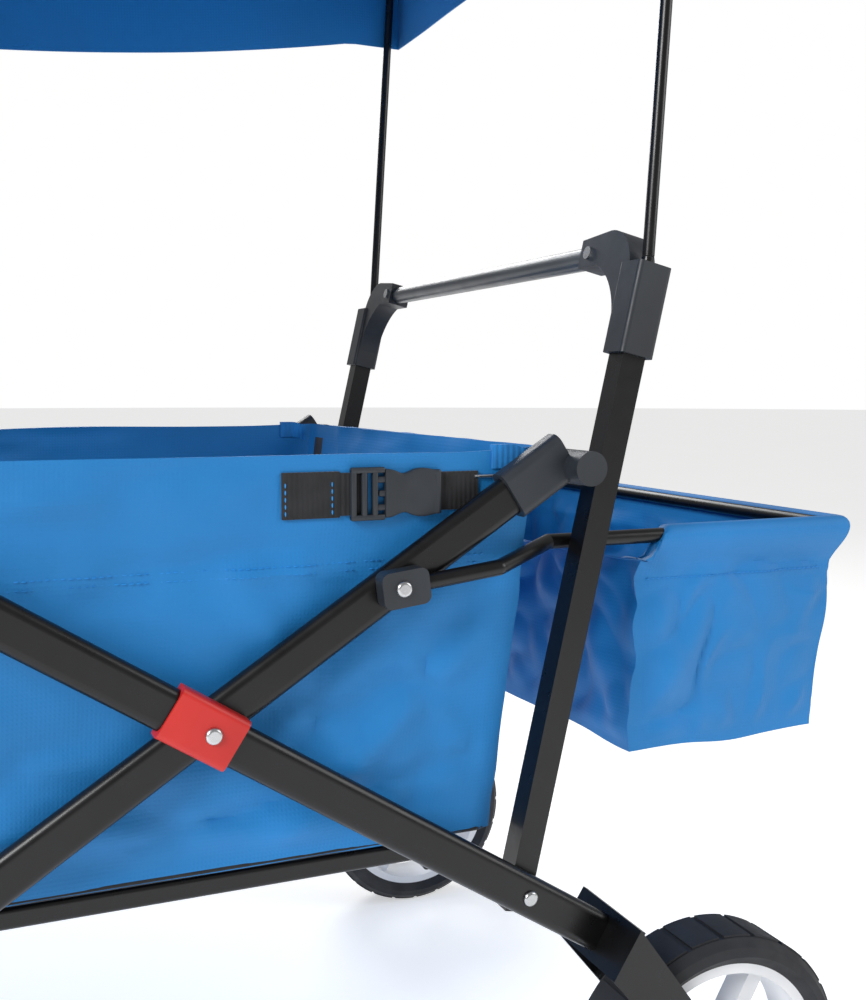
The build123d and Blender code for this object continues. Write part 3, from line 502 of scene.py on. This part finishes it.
class CART_OT_tub(bpy.types.Operator):
    """Sewn fabric tub with its seam, stitches and bottom piping"""
    bl_idname = "cart.tub"
    bl_label = "Tub"

    def execute(self, context):
        depth = context.scene.cart.tub_wrinkle
        shell = cut_box("tub_shell", TUB_LOW, TUB_HIGH, (150, 70, 44), lambda f: f.normal.z > 0.9)
        reshape(shell, lambda p: tub_place(p, depth))
        apply_modifier(shell, "SOLIDIFY", thickness=CLOTH_THICK, offset=-1.0, use_even_offset=False)
        finish_with(shell, "cloth")
        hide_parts("tub_fabric")
        squeeze(shell)

        rows = []
        seam_z = TUB_HIGH.z - SEAM_DROP
        for side, sign in SIDES:
            for k, offset in enumerate((-STITCH_GAP / 2, STITCH_GAP / 2)):
                y = sign * TUB_HIGH.y
                row = stitch_row(f"tub_stitches_{side}_{k}", (TUB_LOW.x + 0.03, y, seam_z + offset),
                                 (TUB_HIGH.x - 0.03, y, seam_z + offset))
                reshape(row, lambda p: tub_place(Vector((p.x, y, p.z)), depth, STITCH_PROUD)
                        + Vector((0, p.y - y, 0)))
                rows.append(row)
        stitches = joined("tub_stitching", rows)
        finish_with(stitches, "thread", smooth=False)
        squeeze(stitches)

        bpy.ops.object.select_all(action="DESELECT")
        low, high = TUB_LOW, TUB_HIGH
        bpy.ops.mesh.primitive_plane_add(size=1, location=((low.x + high.x) / 2, 0, low.z + PIPING_R))
        context.object.scale = (high.x - low.x, high.y - low.y, 1)
        piping = place_in_mesh(bpy.context.object, "tub_piping")
        middle = (low.x + high.x) / 2
        reshape(piping, lambda p: Vector((p.x - math.copysign(END_SLANT, p.x - middle), p.y, p.z)))
        bpy.ops.object.mode_set(mode="EDIT")
        bpy.ops.mesh.select_all(action="SELECT")
        bpy.ops.mesh.bevel(offset=0.012, segments=5, affect="VERTICES")
        bpy.ops.mesh.select_all(action="SELECT")
        bpy.ops.mesh.delete(type="ONLY_FACE")
        bpy.ops.object.mode_set(mode="OBJECT")
        bpy.ops.object.convert(target="CURVE")
        context.object.data.bevel_depth = PIPING_R
        context.object.data.bevel_resolution = 3
        bpy.ops.object.convert(target="MESH")
        piping = context.object
        piping.name = piping.data.name = "tub_piping"
        finish_with(piping, "webbing")
        squeeze(piping)

        return {"FINISHED"}


class CART_OT_tub_trim(bpy.types.Operator):
    """Sleeves over the end bars, ribbed corner ribbons and webbing at the tub's corners"""
    bl_idname = "cart.tub_trim"
    bl_label = "Tub trim"

    def execute(self, context):
        for end, low, high, body in (("rear", REAR_BAR_LOW, REAR_BAR_HIGH, "rear_braces"),
                                     ("front", FRONT_BAR_LOW, FRONT_BAR_HIGH, "front_braces")):
            centre = (low + high) / 2
            half = high.y - 0.034
            radius = (high.z - low.z) / 2 + 0.0022
            bpy.ops.object.select_all(action="DESELECT")
            bpy.ops.mesh.primitive_cylinder_add(vertices=32, radius=radius, depth=2 * half, location=centre,
                                                rotation=(math.pi / 2, 0, 0), end_fill_type="NOTHING")
            sleeve = place_in_mesh(context.object, f"{end}_bar_sleeve")
            bpy.ops.object.mode_set(mode="EDIT")
            edit_select(sleeve, "edges", lambda e: abs((e.verts[0].co - e.verts[1].co).y) > 0.05)
            bpy.ops.mesh.subdivide(number_cuts=60)
            bpy.ops.mesh.select_all(action="SELECT")
            bpy.ops.uv.cube_project(cube_size=2.0)
            bpy.ops.object.mode_set(mode="OBJECT")

            def ruffle(p, centre=centre):
                out = p - Vector((centre.x, p.y, centre.z))
                swell = 1 + 0.11 * max(0.0, noise.noise(Vector((p.x * 25, p.y * 34, p.z * 25))))
                return Vector((centre.x, p.y, centre.z)) + out * swell
            reshape(sleeve, ruffle)
            apply_modifier(sleeve, "SOLIDIFY", thickness=0.0011, offset=1.0)
            finish_with(sleeve, "cloth")
            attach(sleeve, body)

        strips, ribbons = [], []
        for side, sign in SIDES:
            y = sign * (TUB_HIGH.y - 0.0262)
            strip = cut_box(f"corner_webbing_{side}", (TUB_HIGH.x - 0.001, y - 0.0125, 0.452),
                            (TUB_HIGH.x + 0.0008, y + 0.0125, 0.522), (0, 4, 14))
            reshape(strip, lambda p: Vector((p.x - END_SLANT * (TUB_HIGH.z - p.z) / (TUB_HIGH.z - TUB_LOW.z) + 0.0012,
                                             p.y, p.z)))
            strips.append(strip)
            face = sign * (TUB_HIGH.y + 0.0012)
            ribbon = cut_box(f"corner_ribbon_{side}", (TUB_HIGH.x - 0.034, face - 0.0022, TUB_HIGH.z - 0.013),
                             (TUB_HIGH.x - 0.002, face + 0.0022, TUB_HIGH.z + 0.0022), (10, 0, 6))
            reshape(ribbon, lambda p: Vector((p.x, p.y, p.z - 0.006 * ramp(p.x, TUB_HIGH.x - 0.022, TUB_HIGH.x))))
            ribbons.append(ribbon)
        strip = joined("corner_webbing", strips)
        finish_with(strip, "webbing")
        squeeze(strip)
        ribbon = joined("corner_ribbons", ribbons)
        finish_with(ribbon, "ribbon")
        squeeze(ribbon)
        return {"FINISHED"}


class CART_OT_floor_pad(bpy.types.Operator):
    """Four padded floor panels, each with a crowned top and a sewn edge"""
    bl_idname = "cart.floor_pad"
    bl_label = "Floor pad"

    def execute(self, context):
        length = (PAD_HIGH.x - PAD_LOW.x) / 4
        for k in range(4):
            x0 = PAD_LOW.x + k * length + 0.0012
            x1 = x0 + length - 0.0024
            panel = cut_box(f"floor_panel_{k + 1}", (x0, PAD_LOW.y, PAD_LOW.z),
                            (x1, PAD_HIGH.y, PAD_HIGH.z), (20, 40, 1))
            middle, half_x, half_y = (x0 + x1) / 2, (x1 - x0) / 2, PAD_HIGH.y

            def crown(p, middle=middle, half_x=half_x, half_y=half_y, k=k):
                u, v = abs(p.x - middle) / half_x, abs(p.y) / half_y
                edge = (1 - u ** 6) * (1 - v ** 8)
                ripple = 0.0006 * noise.noise(Vector((p.x * 30, p.y * 30, k)))
                top = p.z > (PAD_LOW.z + PAD_HIGH.z) / 2
                return Vector((p.x, p.y, p.z + ((0.0016 * edge - 0.0026 * (1 - edge) + ripple * edge) if top else 0)))
            reshape(panel, crown)
            bevelled(panel, 0.0012, 50)
            finish_with(panel, "pad")
            if k == 0:
                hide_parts("floor_pad")
            squeeze(panel)
        return {"FINISHED"}


# ---------------------------------------------------------------- basket

def crumple(p, seed, depth):
    """Sharp creases between flat facets, as in a slack polyester panel."""
    q = Vector((p.x * 11 + seed, p.y * 11, p.z * 9))
    big = 1 - 2 * abs(noise.noise(q))
    small = 1 - 2 * abs(noise.noise(q * 2.3 + Vector((4, 1, seed))))
    slant = 1 - 2 * abs(noise.noise(Vector(((p.x + p.y) * 16 + p.z * 10, p.z * 17 - (p.x + p.y) * 12, seed))))
    return depth * (0.55 * big + 0.25 * small + 0.6 * slant - 0.85)


class CART_OT_basket(bpy.types.Operator):
    """Slack rear basket whose hem wraps its arms and its rear bar"""
    bl_idname = "cart.basket"
    bl_label = "Rear basket"

    def execute(self, context):
        depth = context.scene.cart.basket_crumple
        arm_z = (BAR_LOW.z + BAR_HIGH.z) / 2
        arm_off = ARM_Y - BASKET_HIGH.y
        wrap_top = arm_z + math.pi * SLEEVE_R
        low = BASKET_LOW.copy()
        high = Vector((BASKET_HIGH.x, BASKET_HIGH.y, wrap_top))
        shell = cut_box("basket_shell", low, high, (52, 110, 60), lambda f: f.normal.z > 0.9)

        def sew(p):
            on_side = abs(abs(p.y) - BASKET_HIGH.y) < 1e-5
            on_rear = abs(p.x - BASKET_HIGH.x) < 1e-5
            on_front = abs(p.x - BASKET_LOW.x) < 1e-5
            share = (p.z - low.z) / (arm_z - low.z)
            # lean out to the sleeve, then round the arm
            lean = ramp(p.z, arm_z - SLEEVE_RISE, arm_z) * (arm_off + SLEEVE_R)
            z = p.z
            if p.z > arm_z:
                turn = (p.z - arm_z) / SLEEVE_R
                lean = arm_off + SLEEVE_R * math.cos(turn)
                z = arm_z + SLEEVE_R * math.sin(turn)
            q = Vector((p.x, p.y, z))
            fade = ramp(p.z, low.z, low.z + 0.02) * (1 - ramp(p.z, arm_z - 0.034, arm_z - 0.012))
            if on_side:
                edge = ramp(p.x, BASKET_LOW.x, BASKET_LOW.x + 0.02)
                edge *= 1 - ramp(p.x, BASKET_HIGH.x - 0.02, BASKET_HIGH.x)
                out = crumple(p, 2.0 if p.y > 0 else 5.0, depth) * fade * (0.3 + 0.7 * edge)
                out -= 0.0012 * bump_at(p.z, arm_z - BASKET_HEM, 0.0022)
                q.y += math.copysign(lean + out, p.y)
                back = 1 - ramp(p.x, BASKET_LOW.x, BASKET_LOW.x + NOTCH_LONG)
                q.z = min(q.z, arm_z + SLEEVE_R - NOTCH_DEEP * back) if back > 0 else q.z
            if on_rear:
                edge = 1 - ramp(abs(p.y), BASKET_HIGH.y - 0.03, BASKET_HIGH.y)
                q.x += lean * 0.6 + crumple(p, 9.0, depth) * fade * (0.3 + 0.7 * edge)
                q.x -= 0.0012 * bump_at(p.z, arm_z - BASKET_HEM, 0.0022) * edge
            if on_front:
                slack = 1 - (abs(p.y) / BASKET_HIGH.y) ** 2
                q.x += crumple(p, 13.0, depth) * fade * 0.9 - 0.002
                q.z = min(q.z, arm_z + SLEEVE_R - NOTCH_DEEP) - 0.010 * slack * ramp(share, 0.6, 1.0)
            # the bottom is a little smaller and sags
            pull = 1 - 0.045 * (1 - ramp(share, 0.0, 0.7))
            centre_x = (BASKET_LOW.x + BASKET_HIGH.x) / 2
            q.x = centre_x + (q.x - centre_x) * pull
            # the front panel stands back from the handle, and the rear bulges a little
            q.x += BASKET_BACK * (1 - ramp(p.x, BASKET_LOW.x, BASKET_HIGH.x))
            q.x += BASKET_BULGE * ramp(p.x, 0.56, BASKET_HIGH.x)
            q.y *= pull
            if p.z < low.z + 1e-5:
                q.z += 0.004 * noise.noise(Vector((p.x * 12, p.y * 12, 4))) - 0.003 * (1 - (p.y / BASKET_HIGH.y) ** 2)
            return q
        reshape(shell, sew)
        apply_modifier(shell, "SOLIDIFY", thickness=BASKET_CLOTH, offset=-1.0, use_even_offset=False)
        finish_with(shell, "cloth")
        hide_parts("basket_fabric")
        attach(shell, "rear_basket")
        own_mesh(shell)

        rows = []
        hem_z = arm_z - BASKET_HEM
        for side, sign in SIDES:
            y = sign * BASKET_HIGH.y
            row = stitch_row(f"basket_stitches_{side}", (BASKET_LOW.x + 0.006, y, hem_z),
                             (BASKET_HIGH.x - 0.006, y, hem_z))
            reshape(row, lambda p: sew(Vector((p.x, y, p.z))) + Vector((0, p.y - y + sign * 0.0006, 0)))
            rows.append(row)
        stitches = joined("basket_stitching", rows)
        finish_with(stitches, "thread", smooth=False)
        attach(stitches, "rear_basket")
        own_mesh(stitches)

        return {"FINISHED"}


# ---------------------------------------------------------------- canopy

class CART_OT_canopy(bpy.types.Operator):
    """Stretched canopy with a sewn valance and black corner patches"""
    bl_idname = "cart.canopy"
    bl_label = "Canopy"

    def execute(self, context):
        sag = context.scene.cart.canopy_sag
        middle = (CANOPY_LOW + CANOPY_HIGH) / 2
        half = (CANOPY_HIGH - CANOPY_LOW) / 2
        shell = cut_box("canopy_sheet", CANOPY_LOW, CANOPY_HIGH, (90, 48, 9), lambda f: f.normal.z < -0.9)

        def stretch(p):
            u, v = (p.x - middle.x) / half.x, p.y / half.y
            rise = (p.z - CANOPY_LOW.z) / (CANOPY_HIGH.z - CANOPY_LOW.z)
            q = p.copy()
            if rise > 0.999:
                q.z -= sag * (1 - v * v) ** 2
                q.z += 0.0008 * noise.noise(Vector((p.x * 7, p.y * 9, 1)))
            # held only at its corners, the sheet sags along its long sides, and its valance is drawn in there
            span = max(0.0, 1 - (u / CANOPY_HELD) ** 2)
            q.z -= CANOPY_DROOP * span * (1 + 0.15 * (1 - rise)) + 0.3 * sag * (1 - v * v) * (1 - rise)
            if abs(abs(u) - 1) < 1e-4:
                drawn = CANOPY_END_DRAWN * (1 - v * v) * (1 - rise)
                q.x -= math.copysign(drawn + 0.0015 * noise.noise(Vector((0, p.y * 14, p.z * 9))), u)
            if abs(abs(v) - 1) < 1e-4:
                drawn = CANOPY_SIDE_DRAWN * (1 - u * u) * (1 - rise)
                q.y -= math.copysign(drawn + 0.0018 * noise.noise(Vector((p.x * 11, 0, p.z * 9))), v)
            return q
        reshape(shell, stretch)
        apply_modifier(shell, "SOLIDIFY", thickness=CANOPY_CLOTH, offset=-1.0, use_even_offset=False)
        finish_with(shell, "cloth")
        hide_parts("canopy_fabric")
        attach(shell, "canopy")

        rows, patches = [], []
        hem_z = CANOPY_LOW.z + CANOPY_HEM
        for side, sign in SIDES:
            y = sign * CANOPY_HIGH.y
            row = stitch_row(f"canopy_stitches_{side}", (CANOPY_LOW.x + 0.01, y, hem_z),
                             (CANOPY_HIGH.x - 0.01, y, hem_z))
            reshape(row, lambda p: stretch(Vector((p.x, y, p.z))) + Vector((0, p.y - y + sign * 0.0004, 0)))
            rows.append(row)
            for end, x, inward in (("rear", CANOPY_HIGH.x, -1), ("front", CANOPY_LOW.x, 1)):
                xs = sorted((x - inward * PATCH_PROUD, x + inward * PATCH_REACH))
                ys = sorted((y + sign * PATCH_PROUD, y - sign * PATCH_REACH))
                patch = cut_box(f"canopy_corner_{end}_{side}", (xs[0], ys[0], CANOPY_LOW.z + 0.002),
                                (xs[1], ys[1], CANOPY_HIGH.z + PATCH_PROUD), (8, 8, 8),
                                lambda f: f.normal.z < -0.9 or f.normal.x * inward > 0.9 or f.normal.y * sign < -0.9)

                def follow(p):
                    held = Vector((min(max(p.x, CANOPY_LOW.x), CANOPY_HIGH.x),
                                   math.copysign(min(abs(p.y), CANOPY_HIGH.y), p.y), min(p.z, CANOPY_HIGH.z)))
                    return p + (stretch(held) - held)
                reshape(patch, follow)
                apply_modifier(patch, "SOLIDIFY", thickness=0.001, offset=1.0)
                patches.append(patch)
        stitches = joined("canopy_stitching", rows)
        finish_with(stitches, "thread", smooth=False)
        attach(stitches, "canopy")
        patch = joined("canopy_corners", patches)
        finish_with(patch, "webbing")
        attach(patch, "canopy")
        return {"FINISHED"}


# ---------------------------------------------------------------- straps and buckles

class CART_OT_straps(bpy.types.Operator):
    """Sewn webbing, ladder adjuster and side-release buckle on each side of the tub"""
    bl_idname = "cart.straps"
    bl_label = "Side straps"

    def execute(self, context):
        web_y = (STRAP_HIGH.y - 0.002, STRAP_HIGH.y)
        z0, z1 = STRAP_LOW.z, STRAP_HIGH.z
        webs, ladders, bodies, threads, wires = [], [], [], [], []
        for side, sign in SIDES:
            def band(name, x0, x1, y0, y1, low, high):
                ys = sorted((sign * y0, sign * y1))
                return soft_block(name, (x0, ys[0], low), (x1, ys[1], high), 0.0005)
            # a doubled patch sewn down, the strap through the ladder, and the tail on the buckle
            webs.append(band(f"patch_{side}", STRAP_LOW.x, STRAP_LOW.x + 0.036,
                             web_y[0] + 0.0008, web_y[1] + 0.0016, z0, z1))
            webs.append(band(f"strap_{side}", STRAP_LOW.x + 0.03, TONGUE_LOW.x + 0.012,
                             web_y[0] + 0.001, web_y[1] + 0.0012, z0 + 0.001, z1 - 0.001))
            webs.append(band(f"tail_{side}", BODY_HIGH.x - 0.004, STRAP_HIGH.x,
                             web_y[0] + 0.001, web_y[1] + 0.0014, z0 + 0.002, z1 - 0.002))
            mid_y = (BODY_HIGH.y + web_y[1] + 0.0006) / 2
            thick = BODY_HIGH.y - web_y[1] - 0.0006
            mid_z = (z0 + z1) / 2

            def bar(name, x0, x1, low, high, depth=1.0, edge=0.0011):
                ys = sorted((sign * (mid_y - thick * depth / 2), sign * (mid_y + thick * depth / 2)))
                return soft_block(name, (x0, ys[0], low), (x1, ys[1], high), edge)
            tx = TONGUE_LOW.x
            for k, x in enumerate((tx, tx + 0.0068, tx + 0.0138)):
                ladders.append(bar(f"rung_{side}_{k}", x, x + 0.0036, mid_z - 0.0155, mid_z + 0.0155, 0.9))
            for k, z in enumerate((mid_z - 0.0162, mid_z + 0.0126)):
                ladders.append(bar(f"rail_{side}_{k}", tx, tx + 0.022, z, z + 0.0036))
            # prongs that reach into the body
            for k, z in enumerate((mid_z - 0.0105, mid_z + 0.0065)):
                ladders.append(bar(f"prong_{side}_{k}", tx + 0.016, BODY_LOW.x + 0.012, z, z + 0.004, 0.55))
            ladders.append(bar(f"guide_{side}", tx + 0.018, BODY_LOW.x + 0.01, mid_z - 0.002, mid_z + 0.002, 0.5))
            # body: waisted sides, a hollow mouth and a tapered tail with a slot
            ys = sorted((sign * (mid_y - thick / 2), sign * (mid_y + thick / 2)))
            body = cut_box(f"buckle_{side}", (BODY_LOW.x, ys[0], mid_z - 0.015),
                           (BODY_HIGH.x, ys[1], mid_z + 0.015), (24, 3, 12))
            long = BODY_HIGH.x - BODY_LOW.x

            def waist(p):
                s = (p.x - BODY_LOW.x) / long
                pinch = 1 - 0.20 * bump_at(s, 0.34, 0.16) - 0.10 * ramp(s, 0.7, 1.0)
                out = abs(p.y) > mid_y
                crown = (0.0006 * (1 - ((p.z - mid_z) / 0.015) ** 2) - 0.0008 * ramp(s, 0.85, 1.0)) if out else 0
                dish = 0.0007 * bump_at(s, 0.5, 0.14) * bump_at(p.z, mid_z, 0.007) if out else 0
                return Vector((p.x, p.y + math.copysign(crown - dish, p.y), mid_z + (p.z - mid_z) * pinch))
            reshape(body, waist)
            bevelled(body, 0.0009, 50)
            bodies.append(body)
            bodies.append(bar(f"tail_bar_{side}", BODY_HIGH.x - 0.005, BODY_HIGH.x + 0.001,
                              mid_z - 0.0138, mid_z + 0.0138, 1.05))
            # a wire loop from the tail to the elbow
            y = sign * (web_y[1] + 0.0012)
            for k, z in enumerate((mid_z + 0.0085, mid_z - 0.0085)):
                bpy.ops.object.select_all(action="DESELECT")
                bpy.ops.mesh.primitive_cylinder_add(vertices=10, radius=0.0011, depth=0.018,
                                                    location=(STRAP_HIGH.x + 0.006, y, z),
                                                    rotation=(0, math.pi / 2, 0))
                wires.append(place_in_mesh(context.object, f"wire_{side}_{k}"))
            bpy.ops.object.select_all(action="DESELECT")
            bpy.ops.mesh.primitive_cylinder_add(vertices=10, radius=0.0011, depth=0.019,
                                                location=(STRAP_HIGH.x + 0.015, y, mid_z))
            wires.append(place_in_mesh(context.object, f"wire_end_{side}"))
            for k, x in enumerate((STRAP_LOW.x + 0.002, STRAP_LOW.x + 0.031)):
                face = sign * (web_y[1] + 0.0017)
                threads.append(stitch_row(f"strap_thread_{side}_{k}", (x, face, z0 + 0.002), (x, face, z1 - 0.001)))
        for name, parts, key, slot in (("strap_webbing", webs, "webbing", "black_webbing"),
                                       ("strap_ladders", ladders, "black_nylon", "black_nylon"),
                                       ("strap_buckles", bodies, "black_nylon", "black_nylon"),
                                       ("strap_threads", threads, "thread", "blue_polyester"),
                                       ("strap_wires", wires, "zinc_steel", "zinc_steel")):
            piece = joined(name, parts)
            finish_with(piece, key)
            if name == "strap_webbing":
                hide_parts("side_straps")
            if name == "strap_ladders":
                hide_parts("buckle_tongues")
            if name == "strap_buckles":
                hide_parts("buckle_bodies")
            squeeze(piece)
        return {"FINISHED"}


class CART_OT_frame_finishes(bpy.types.Operator):
    """Gives every carried-over frame part its real finish, by its slot"""
    bl_idname = "cart.frame_finishes"
    bl_label = "Frame finishes"

    def execute(self, context):
        own = {"handle_bar": "bar_coat"}
        for name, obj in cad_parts.items():
            if obj.hide_render:
                continue
            for index, held in enumerate(obj.data.materials):
                key = own.get(name) or (held.name.split(".")[0] if held else "")
                if key in MATERIALS:
                    obj.data.materials[index] = MATERIALS[key]
        return {"FINISHED"}


class CART_OT_stage(bpy.types.Operator):
    """Pale floor, soft lights and the camera"""
    bl_idname = "cart.stage"
    bl_label = "Stage"

    def execute(self, context):
        settings = context.scene.cart
        turn = Matrix((VIEW_RIGHT, VIEW_UP, VIEW_BACK)).transposed()
        bpy.ops.object.camera_add(location=VIEW_PLACE, rotation=turn.to_euler())
        camera = context.object
        camera.name = "cart_camera"
        camera.data.sensor_fit = "VERTICAL"
        camera.data.sensor_height = VIEW_SENSOR
        camera.data.lens = VIEW_LENS
        camera.data.clip_start = 0.02
        context.scene.camera = camera
        bpy.ops.object.select_all(action="DESELECT")
        bpy.ops.mesh.primitive_circle_add(vertices=96, radius=30, fill_type="NGON", location=(0, 0, -0.0005))
        floor = place_in_mesh(context.object, "studio_floor")
        mat, tree, shader, coords = start_material("painted_studio_floor", {
            "Roughness": 0.8, "IOR": 1.5, "Emission Color": (1, 1, 1, 1), "Emission Strength": FLOOR_GLOW})
        blotch(tree, shader, coords, shade(settings.floor_colour, 0.99), settings.floor_colour, 1.5)
        floor.data.materials.append(mat)
        world = bpy.data.worlds.new("studio_sky")
        context.scene.world = world
        world.use_nodes = True
        # the backdrop is seen white, and lights the cart only softly, so that black stays black
        tree = world.node_tree
        glow = tree.nodes["Background"]
        glow.inputs["Color"].default_value = (1, 1, 1, 1)
        path = add_node(tree, "ShaderNodeLightPath")
        power = add_node(tree, "ShaderNodeMapRange", values={"To Min": BACKDROP_LIGHT, "To Max": 1.0},
                         links={"Value": path.outputs["Is Camera Ray"]})
        tree.links.new(power.outputs["Result"], glow.inputs["Strength"])
        for name, place, aim, size, power in (
                ("key_light", (-2.0, -1.5, 1.9), (0, 0, 0.4), 1.1, settings.key_power),
                ("fill_light", (2.2, -1.2, 1.4), (0.3, 0, 0.4), 1.2, settings.key_power * FILL_SHARE),
                ("rim_light", (0.6, 2.4, 2.0), (0, 0, 0.5), 1.4, settings.key_power * RIM_SHARE)):
            away = (Vector(place) - Vector(aim)).to_track_quat("Z", "Y").to_euler()
            bpy.ops.object.light_add(type="AREA", radius=size, location=place, rotation=away)
            context.object.name = name
            context.object.data.energy = power
            context.object.data.size = size
        context.scene.view_settings.view_transform = "Standard"
        return {"FINISHED"}


class CART_PT_panel(bpy.types.Panel):
    """Lists the cart's pieces and sizes"""
    bl_idname = "CART_PT_panel"
    bl_label = "Beach cart"
    bl_space_type = "VIEW_3D"
    bl_region_type = "UI"
    bl_category = "Beach cart"

    def draw(self, context):
        for operator in OPERATORS:
            self.layout.operator(operator.bl_idname)
        for name in CartSettings.__annotations__:
            self.layout.prop(context.scene.cart, name)


OPERATORS = (CART_OT_stage, CART_OT_tub, CART_OT_tub_trim, CART_OT_floor_pad, CART_OT_basket, CART_OT_canopy,
             CART_OT_straps, CART_OT_frame_finishes)
CLASSES = (CartSettings,) + OPERATORS + (CART_PT_panel,)


def register():
    for cls in CLASSES:
        bpy.utils.register_class(cls)
    bpy.types.Scene.cart = PointerProperty(type=CartSettings)


def unregister():
    del bpy.types.Scene.cart
    for cls in reversed(CLASSES):
        bpy.utils.unregister_class(cls)


def main():
    register()
    MATERIALS.update(make_materials(bpy.context.scene.cart))
    for operator in OPERATORS:
        group, name = operator.bl_idname.split(".")
        getattr(getattr(bpy.ops, group), name)()


if __name__ == "__main__":
    main()
